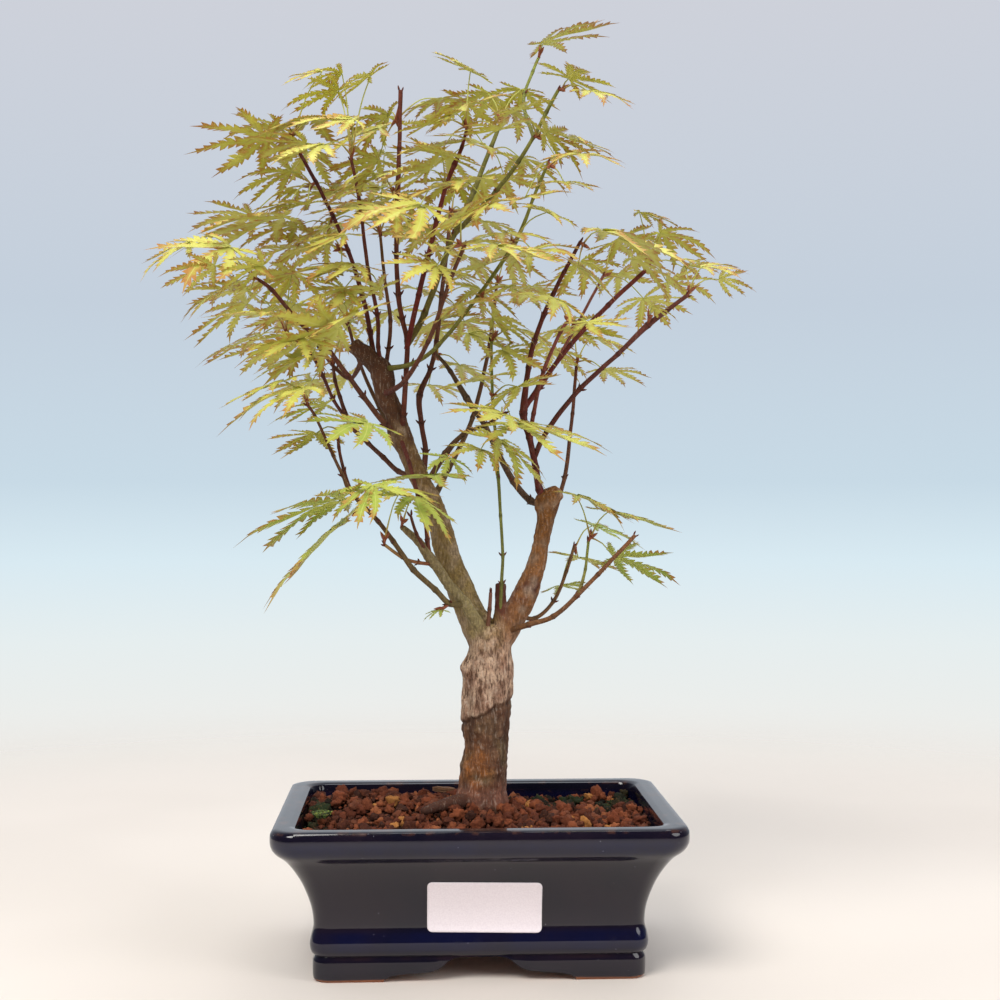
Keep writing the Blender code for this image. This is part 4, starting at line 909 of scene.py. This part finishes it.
leaf = Look("leaf", .45, Specular_IOR_Level=.3)
along, edge, mood = leaf.parts(leaf.stored("tint"))[:3]
patch = leaf.noise(48, 3)
fine = leaf.noise(300, 4)
height = leaf.ramp(leaf.axis("Z"), .21, .34, 0, 1)
lime = leaf.mix(leaf.ramp(patch, .35, .65), tone("cfcb62"), tone("bfbf52"))
green = leaf.mix(leaf.ramp(patch, .35, .65), tone("b0bb55"), tone("93ab49"))
body = leaf.mix(leaf.ramp(leaf.plus(height, leaf.times(mood, .6)), .2, .85), green, lime)
body = leaf.mix(leaf.ramp(along, .4, .0, 0, .4), body, tone("d3d676"))
warm = leaf.plus(leaf.times(edge, .6), leaf.times(along, .35))
warm = leaf.plus(warm, leaf.times(leaf.math("SUBTRACT", fine, .5), 1.1))
warm = leaf.plus(warm, leaf.times(leaf.math("SUBTRACT", patch, .5), 1.2))
warm = leaf.plus(warm, leaf.times(height, .12))
body = leaf.mix(leaf.ramp(warm, .44, 1.0, 0, .85), body, tone("b87e44"))
body = leaf.mix(leaf.ramp(leaf.plus(along, leaf.times(mood, .25)), .88, 1.15, 0, .6), body,
                tone("a4673a"))
body = leaf.mix(leaf.ramp(edge, .14, .02, 0, .55), body, tone("d0cf7c"))
petiole = leaf.mix(leaf.ramp(along, .0, .5), tone("a88248"), tone("b3b45e"))
body = leaf.mix(leaf.ramp(mood, 1.4, 1.6), body, petiole)
body = leaf.mix(leaf.ramp(mood, 2.4, 2.6), body, leaf.mix(along, tone("7a3c2a"), tone("a0603c")))
leaf.colour(body)
leaf.rough(leaf.ramp(fine, .3, .7, .4, .6))
leaf.bump(fine, .00015, .25)
for index, (origin, bud, out, placed) in enumerate(plans):
    show(f"leafy_shoot_{index + 1:02d}", shoot_mesh(index + 1, origin, bud, out, placed), leaf,
         f"spray_{index + 1:02d}")


# ------------------------------------------------------------------ pot
def ring_stack(rings, segments):
    """A closed skin through (inset, z) rings of the pot's outline."""
    points, faces = [], []
    for inset, z in rings:
        for x, y in outline(inset, segments):
            points.append(Vector((x, y, z)) / 1000 + SHIFT)
    count = len(outline(rings[0][0], segments))
    for i in range(len(rings) - 1):
        for k in range(count):
            a, b = i * count + k, i * count + (k + 1) % count
            faces.append((a, b, b + count, a + count))
    faces.append(tuple(reversed(range(count))))
    faces.append(tuple(range((len(rings) - 1) * count, len(rings) * count)))
    return points, faces


def rounded(rings, per=3):
    """The profile softened: a Catmull-Rom pass with per points a span."""
    path = through([(Vector((inset, z, 0)) / 1000, 0) for inset, z in rings], .0006 * per)
    return [(p.x * 1000, p.y * 1000) for p, _ in path]


def ogee(share):
    """The outline of a foot arch, narrowed to a share of the front one."""
    side = [(46, -2), (44.6, 1.2), (42, 2.8), (37, 3.7), (29, 4.2), (23, 4.8), (19.5, 6), (17, 7.8),
            (15, 9.6), (12.6, 10.8), (9, ARCH_TOP)]
    side = [(x * share * ARCH_HALF / DRAWN_HALF, z) for x, z in side]
    return side + [(-x, z) for x, z in reversed(side)]


def slab(profile, depth, along_x):
    """The ogee carried right across the foot."""
    points, faces = [], []
    for far in (-depth, depth):
        for x, z in profile:
            points.append(Vector((far, x, z) if along_x else (x, far, z)) / 1000 + SHIFT)
    n = len(profile)
    for k in range(n):
        faces.append((k, (k + 1) % n, (k + 1) % n + n, k + n))
    faces += [tuple(reversed(range(n))), tuple(range(n, 2 * n))]
    return points, faces


points, faces = ring_stack(rounded(WALL + LIP + INSIDE), 96)
pot = put("pot_rough", from_lists("pot", points, faces))
hollow = ring_stack([(25, -2), (25, FLOOR_UNDER - 1), (26, FLOOR_UNDER)], 48)
front, end = slab(ogee(1), RIM_WIDTH, False), slab(ogee(.62), RIM_LENGTH, True)
tools = [put(f"cut_{i}", from_lists("cut", *shape)) for i, shape in enumerate((hollow, front, end))]
for side in (-1, 1):
    work = bmesh.new()
    bore = DRAIN_RADIUS / 1000
    bmesh.ops.create_cone(work, cap_ends=True, segments=40, radius1=bore, radius2=bore, depth=.03)
    bmesh.ops.translate(work, vec=Vector((side * DRAIN_X, 0, 15)) / 1000 + SHIFT, verts=work.verts)
    tools.append(put("drain", baked("drain", work)))
for tool in tools:
    work = bmesh.new()
    work.from_mesh(tool.data)
    bmesh.ops.recalc_face_normals(work, faces=work.faces)
    work.to_mesh(tool.data)
    work.free()
    cut = pot.modifiers.new("cut", "BOOLEAN")
    cut.operation, cut.solver, cut.object = "DIFFERENCE", "EXACT", tool
soft = pot.modifiers.new("soft", "BEVEL")
soft.width, soft.segments, soft.limit_method, soft.angle_limit = .0007, 3, "ANGLE", math.radians(42)
soft.harden_normals = False
mesh = evaluated(pot)
for tool in tools:
    bpy.data.objects.remove(tool)

glaze = Look("glaze", .1, Coat_Weight=.3, Coat_Roughness=.03, Specular_IOR_Level=.4)
cloud = glaze.noise(28, 4)
drip = glaze.noise(1, 4, .6, glaze.spread((60, 60, 14)))
z = glaze.axis("Z")
navy = glaze.mix(glaze.ramp(cloud, .35, .65), tone("110f1d"), tone("1b1420"))
foot_blue = glaze.times(glaze.ramp(z, .0125, .016), glaze.ramp(z, .0255, .0215))
lip_blue = glaze.times(glaze.ramp(z, .0605, .063), glaze.ramp(z, .0705, .067))
blue = glaze.times(glaze.most(foot_blue, lip_blue), glaze.ramp(drip, .3, .6, .45, .95))
navy = glaze.mix(blue, navy, tone("0e102e"))
line = glaze.times(glaze.ramp(z, .0100, .0107), glaze.ramp(z, .0124, .0116))
navy = glaze.mix(glaze.times(line, glaze.ramp(drip, .4, .6, .0, .2)), navy, tone("3a2620"))
edge = glaze.times(glaze.ramp(z, .0716, .0728), glaze.ramp(glaze.noise(140, 4), .5, .66))
navy = glaze.mix(glaze.times(edge, .5), navy, tone("5a3a2c"))
specks = glaze.ramp(glaze.cells(330), .035, .06, .8, 0)
sparse = glaze.ramp(glaze.noise(90, 1), .56, .6)
navy = glaze.mix(glaze.times(specks, sparse), navy, tone("b4b4be"))
dirt = glaze.ramp(glaze.cells(210), .05, .09, .9, 0)
dirty = glaze.times(glaze.ramp(z, .0722, .0730), glaze.ramp(glaze.noise(60, 2), .52, .6))
navy = glaze.mix(glaze.times(dirt, dirty), navy, tone("4a2a1c"))
off_x = glaze.math("ABSOLUTE", glaze.math("SUBTRACT", glaze.axis("X"), SHIFT.x))
off_y = glaze.math("ABSOLUTE", glaze.math("SUBTRACT", glaze.axis("Y"), SHIFT.y))
inner = glaze.times(glaze.ramp(off_x, .071, .070), glaze.ramp(off_y, .047, .046))
under = glaze.most(glaze.times(inner, glaze.ramp(z, .0135, .0125)), glaze.ramp(z, .0098, .0090))
raw = glaze.times(glaze.ramp(glaze.facing(), -.3, -.7), under)
raw = glaze.most(raw, glaze.ramp(z, .0012, .0006))
clay = glaze.mix(glaze.noise(300, 4), tone("7c4428"), tone("a5663e"))
glaze.colour(glaze.mix(raw, navy, clay))
dust = glaze.ramp(glaze.noise(160, 5), .55, .75, 0, .12)
glaze.rough(glaze.plus(glaze.ramp(raw, 0, 1, .1, .75), dust))
glaze.bump(cloud, .0012, .12)
glaze.bump(glaze.noise(600, 2), .0001, .1)
show("glazed_pot", mesh, glaze, "pot")

grid = Look("grid_plastic", .5)
grid.colour(grid.mix(grid.noise(400, 3), tone("141414"), tone("26262a")))
grid.bump(grid.noise(900, 2), .0001, .4)
for word in ("left", "right"):
    node = frame["nodes"][f"drainage_mesh_{word}"]
    node.data.materials.clear()
    node.data.materials.append(grid.made)


# ------------------------------------------------------------------ soil, chip and moss
def inside_wall(z):
    rings = sorted((h, inset) for inset, h in LIP[2:] + INSIDE)
    for (z0, a), (z1, b) in zip(rings, rings[1:]):
        if z <= z1:
            return a + (b - a) * (z - z0) / (z1 - z0) + .5
    return rings[-1][1] + .5


def ball(detail_level):
    work = bmesh.new()
    bmesh.ops.create_icosphere(work, subdivisions=detail_level, radius=1)
    work.verts.ensure_lookup_table()
    result = ([v.co.copy() for v in work.verts], [tuple(v.index for v in f.verts) for f in work.faces])
    work.free()
    return result


def soil_parts():
    """A closed bed with loose granules in two layers, darker and lower in two patches, at the back right
    and along the left end wall.
    """
    rng = random.Random(SEED + 3)
    rings = [(inside_wall(z) + .3, z) for z in (FLOOR_TOP + 2.2, 30, 45, 58)]
    rings.append((inside_wall(63) + .4, 62.5))
    points, faces = ring_stack(rings, 32)
    faces.pop()
    colours = [tone("3a2118")] * len(points)
    count = len(outline(0, 32))
    edge = [points[-count + k] - SHIFT for k in range(count)]
    before = list(range(len(points) - count, len(points)))
    for share in (.96, .9, .8, .7, .6, .5, .4, .3, .2, .1):
        ring = []
        for e in edge:
            x, y = e.x * 1000 * share, e.y * 1000 * share
            ring.append(len(points))
            points.append(Vector((x, y, ground(x, y) - 2.2)) / 1000 + SHIFT)
            colours.append(tone("3a2118"))
        for k in range(count):
            after = (k + 1) % count
            faces.append((before[k], before[after], ring[after], ring[k]))
        before = ring
    faces.append(tuple(before))
    finest, fine, coarse = ball(3), ball(2), ball(1)
    kinds = [tone(code) for code in ("6e3924", "5c2e1e", "7b4229", "4a261b", "8a5032", "3a2018", "a8703c",
                                     "6c3e2c")]
    weights = (26, 24, 14, 18, 6, 12, 3, 8)
    half_x, half_y = RIM_LENGTH / 2 - 12.6, RIM_WIDTH / 2 - 12.6
    spots = []
    for layer, pitch in ((0, 3.6), (1, 4.6)):
        across, down = int(2 * half_x / pitch), int(2 * half_y / pitch)
        for i in range(across + 1):
            for j in range(down + 1):
                x = -half_x + 2 * half_x * i / across + rng.uniform(-.5, .5) * pitch
                y = -half_y + 2 * half_y * j / down + rng.uniform(-.5, .5) * pitch
                spots.append((x, y, layer))
    for x, y, layer in spots:
        size = rng.choice((.9, 1.2, 1.5, 1.8, 2.1, 2.5, 3.1)) * (1 if layer else .8)
        if abs(x) > half_x - size * .7 or abs(y) > half_y - size * .7:
            continue
        if (x - 2.5) ** 2 + (y / 1) ** 2 < (13.4 + size) ** 2:
            continue
        if layer and rng.random() < .25:
            continue
        dark = math.exp(-(((x - 52) / 32) ** 2 + ((y - 36) / 16) ** 2))
        dark += math.exp(-(((x + 80) / 7) ** 2 + ((y + 18) / 30) ** 2))
        height = ground(x, y) - 1.1 + (size * .75 if layer else 0) - dark * 1.2
        shape, skin = finest if size > 1.7 else fine if size > 1 else coarse
        turn = Matrix.Rotation(rng.uniform(0, 6.3), 3, "Z") @ Matrix.Rotation(rng.uniform(0, 3), 3, "X")
        stretch = Vector((rng.uniform(.8, 1.2), rng.uniform(.8, 1.15), rng.uniform(.65, .95)))
        seed = Vector((x, y, layer * 50))
        low = len(points)
        colour = rng.choices(kinds, weights)[0] * rng.uniform(.8, 1.2)
        if rng.random() < min(.85, dark * 1.1):
            colour = tone(rng.choice(("1c2016", "25301a", "2e2a1a", "18140f"))) * rng.uniform(.8, 1.3)
        for p in shape:
            bumpy = 1 + .55 * noise.noise(p * 1.0 + seed) + .5 * noise.noise(p * 2.3 + seed)
            bumpy += .12 * noise.cell(p * 3 + seed)
            q = turn @ Vector((p.x * stretch.x, p.y * stretch.y, p.z * stretch.z)) * size * bumpy
            points.append((Vector((x, y, height)) + q) / 1000 + SHIFT)
            colours.append(colour * (1 + .2 * noise.noise(p * 3 + seed)))
        faces += [tuple(v + low for v in face) for face in skin]
    return from_lists("soil", points, faces, colours)


soil = Look("soil", .95, Specular_IOR_Level=.2)
crumb = soil.noise(900, 6, .65)
# painted shade where the crumb noise runs low and the bump sinks, then a painted highlight of pale tan
# where it runs high
shade = soil.mix(soil.ramp(crumb, .45, .3, 0, .6), soil.stored("tint"), tone("2c160f"))
soil.colour(soil.mix(soil.ramp(crumb, .52, .7, .0, .5), shade, soil.mix(.4, shade, tone("b5764c"))))
soil.rough(soil.ramp(crumb, .3, .7, .82, 1))
soil.bump(crumb, .0005, .8)
show("granular_soil", soil_parts(), soil, "soil_bed")


def chip_mesh():
    """A flake that tapers to both ends."""
    low, high = (Vector(corner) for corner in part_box("bark_chip"))
    centre = (low + high) / 2
    work = bmesh.new()
    bmesh.ops.create_cube(work, size=1)
    bmesh.ops.subdivide_edges(work, edges=work.edges, cuts=7, use_grid_fill=True)
    turn = Matrix.Rotation(.25, 4, "Z") @ Matrix.Rotation(.12, 4, "Y")
    for vert in work.verts:
        p = vert.co.copy()
        taper = 1 - .55 * abs(p.x * 2) ** 2
        q = Vector((p.x * .0118, p.y * .0043 * taper, p.z * .0024 * (.7 + .3 * taper)))
        q += noise.noise_vector(p * 5) * .00035
        vert.co = centre + (turn @ q)
    return baked("chip", work)


chip = Look("chip", .85)
fibre = chip.noise(1, 5, .6, chip.spread((260, 1500, 1500)))
chip.colour(chip.mix(chip.ramp(fibre, .35, .65), tone("4c3020"), tone("8c6444")))
chip.bump(fibre, .0005, .8)
show("bark_chip_piece", chip_mesh(), chip, "bark_chip")


def moss_mesh():
    """Short pointed leaves in tight rosettes."""
    rng = random.Random(8)
    low, high = (Vector(c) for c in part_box("moss_tuft"))
    centre, half = (low + high) / 2, (high - low) / 2
    points, faces, colours = [], [], []
    for _ in range(90):
        x, y = rng.uniform(-1, 1), rng.uniform(-1, 1)
        if x * x + y * y > .6 + .5 * noise.noise(Vector((x * 2, y * 2, 3))):
            continue
        root = Vector((centre.x + x * half.x * .86, centre.y + y * half.y * .86, low.z + half.z * .2))
        tip = half.z * 1.5 * (1 - .5 * (x * x + y * y)) * rng.uniform(.7, 1.1)
        lean = Vector((rng.uniform(-.5, .5), rng.uniform(-.5, .5), 1)) * tip
        shade = tone(rng.choice(("2a3018", "3a4420", "56662c", "242a16", "8a9a3c")))
        stem = [(root, .0004), (root + lean * .5, .00055), (root + lean, .0001)]
        for ring in pipe(stem, 5, points, faces):
            colours += [shade] * len(ring)
        for spoke in range(5):
            angle = spoke * 1.257 + rng.uniform(0, 1)
            side = Vector((math.cos(angle), math.sin(angle), .6)) * .0009
            knee = root + lean * .6
            blade = [(knee, .00025), (knee + side, .0003), (knee + side * 1.8, .00005)]
            for ring in pipe(blade, 4, points, faces):
                colours += [shade * rng.uniform(.8, 1.2)] * len(ring)
    return from_lists("moss", points, faces, colours)


moss = Look("moss", .7, Subsurface_Weight=.1, Subsurface_Scale=.001)
moss.colour(moss.mix(moss.ramp(moss.noise(700, 3), .35, .7, 0, .5), moss.stored("tint"), tone("2e3c18")))
show("moss_cushion", moss_mesh(), moss, "moss_tuft")


# ------------------------------------------------------------------ label
def label_mesh():
    """Blank paper with round corners, following the wall."""
    width, low, high = LABEL_WIDTH / 2, LABEL_LOW, LABEL_HIGH
    middle, half = (low + high) / 2, (high - low) / 2
    across, down, corner = 60, 30, 2.4
    points, faces, ids = [], [], {}
    heights = rounded(WALL)

    def inset(z):
        for (a, z0), (b, z1) in zip(heights, heights[1:]):
            if z0 <= z <= z1 and z1 > z0:
                return a + (b - a) * (z - z0) / (z1 - z0)
        return 18

    for layer in (0, 1):
        for j in range(down + 1):
            for i in range(across + 1):
                u, v = i / across * 2 - 1, j / down * 2 - 1
                x, z = u * width, middle + v * half
                dx, dz = max(0, abs(x) - width + corner), max(0, abs(z - middle) - half + corner)
                reach = math.hypot(dx, dz)
                if reach > corner:
                    x -= math.copysign(dx - dx / reach * corner, x)
                    z -= math.copysign(dz - dz / reach * corner, z - middle)
                z2 = z - x * .018
                y = -RIM_WIDTH / 2 + inset(z2) - (.12 if layer else .3)
                ids[layer, i, j] = len(points)
                points.append(Vector((LABEL_X + x, y, z2)) / 1000 + SHIFT)
    for j in range(down):
        for i in range(across):
            a = [ids[0, i, j], ids[0, i + 1, j], ids[0, i + 1, j + 1], ids[0, i, j + 1]]
            b = [ids[1, i, j], ids[1, i, j + 1], ids[1, i + 1, j + 1], ids[1, i + 1, j]]
            faces += [tuple(a), tuple(b)]
    rim = [(i, 0) for i in range(across)] + [(across, j) for j in range(down)]
    rim += [(i, down) for i in range(across, 0, -1)] + [(0, j) for j in range(down, 0, -1)]
    for (i, j), (k, m) in zip(rim, rim[1:] + rim[:1]):
        faces.append((ids[0, i, j], ids[1, i, j], ids[1, k, m], ids[0, k, m]))
    return from_lists("label", points, faces)


paper = Look("label_paper", .45, Specular_IOR_Level=.4)
fleck = paper.noise(1400, 4)
paper.colour(paper.mix(paper.ramp(fleck, .3, .7), tone("f0e6ea"), tone("e8dde2")))
paper.bump(fleck, .00006, .3)
show("blank_label", label_mesh(), paper, "paper_label")


# ------------------------------------------------------------------ stage, light and camera
work = bmesh.new()
bmesh.ops.create_circle(work, cap_ends=True, segments=96, radius=1.3)
floor = put("floor", baked("floor", work))
stage = Look("stage", .8, Specular_IOR_Level=.1)
stage.colour(stage.mix(stage.ramp(stage.noise(3, 2), .4, .6), tone("e6dcd3"), tone("e2d8cf")))
reach = stage.plus(stage.math("POWER", stage.axis("X"), 2.0), stage.math("POWER", stage.axis("Y"), 2.0))
fade = stage.ramp(reach, .05, 1.2, 1, 0)
stage.feed(stage.shader, "Alpha", stage.times(fade, fade))
floor.data.materials.append(stage.made)

sky = bpy.context.scene.world or bpy.data.worlds.new("sky")
bpy.context.scene.world = sky
sky.use_nodes = True
nodes, links = sky.node_tree.nodes, sky.node_tree.links
nodes.clear()
kinds = ("OutputWorld", "Background", "Background", "Background", "MixShader", "MixShader", "LightPath",
         "TexCoord", "SeparateXYZ")
output, back, around, room, choose, shine, seen, reach, split = [nodes.new("ShaderNode" + k) for k in kinds]
links.new(reach.outputs["Generated"], split.inputs[0])


def gradient(axis, low, high, stops):
    """A colour ramp along one part of the direction looked in."""
    rescale, fade = nodes.new("ShaderNodeMapRange"), nodes.new("ShaderNodeValToRGB")
    links.new(split.outputs[axis], rescale.inputs[0])
    rescale.inputs[1].default_value, rescale.inputs[2].default_value = low, high
    links.new(rescale.outputs[0], fade.inputs[0])
    fade.color_ramp.elements[0].color = (*tone(stops[0][1]), 1)
    fade.color_ramp.elements[1].color = (*tone(stops[-1][1]), 1)
    for place, code in stops[1:-1]:
        fade.color_ramp.elements.new(place).color = (*tone(code), 1)
    return fade.outputs[0]


BACKDROP = ((0, "f6ebe3"), (.2, "f3ede6"), (.36, "e6eeef"), (.44, "d9eaf2"), (.52, "c8dae6"),
            (.7, "c4d0dd"), (1, "ced1da"))
MIRRORED = ((0, "202228"), (.25, "2c2e36"), (.5, "40444c"), (.75, "848a94"), (1, "ccd3db"))
ROOM = ((0, "b4b6b8"), (.5, "c4cad2"), (1, "eef2f6"))
links.new(gradient("Z", -.3, .3, BACKDROP), back.inputs[0])
links.new(gradient("Y", -1, 1, MIRRORED), around.inputs[0])
links.new(gradient("Y", -1, 1, ROOM), room.inputs[0])
back.inputs[1].default_value = around.inputs[1].default_value = room.inputs[1].default_value = 1.0
links.new(seen.outputs["Is Camera Ray"], choose.inputs[0])
links.new(seen.outputs["Is Glossy Ray"], shine.inputs[0])
links.new(room.outputs[0], shine.inputs[1])
links.new(around.outputs[0], shine.inputs[2])
links.new(shine.outputs[0], choose.inputs[1])
links.new(back.outputs[0], choose.inputs[2])
links.new(choose.outputs[0], output.inputs[0])


def lamp(name, place, target, size, power, colour=(1, 1, 1)):
    data = bpy.data.lights.new(name, "AREA")
    data.shape, data.size, data.energy, data.color = "DISK", size, power, colour
    obj = put(name, data)
    obj.location = place
    obj.rotation_euler = (Vector(target) - Vector(place)).to_track_quat("-Z", "Y").to_euler()


lamp("key", (-.6, -1.0, 1.4), (0, 0, .24), .9, 21, (1, .98, .94))
lamp("fill", (1.2, -.9, .8), (0, 0, .24), 1.0, 9)
lamp("top", (.1, .5, 1.6), (0, 0, .2), 1.0, 6, (.95, .98, 1))

camera = put("camera", bpy.data.cameras.new("camera"))
bpy.context.scene.camera = camera
camera.data.sensor_width, camera.data.lens = 36, 58
camera.data.shift_x, camera.data.shift_y = .001, -.004
yaw, pitch = .0471, .0034
look = Vector((math.sin(yaw) * math.cos(pitch), math.cos(yaw) * math.cos(pitch), math.sin(pitch)))
camera.location = Vector(EYE) / 1000 + SHIFT
camera.rotation_euler = look.to_track_quat("-Z", "Y").to_euler()
bpy.context.scene.view_settings.view_transform = "Standard"
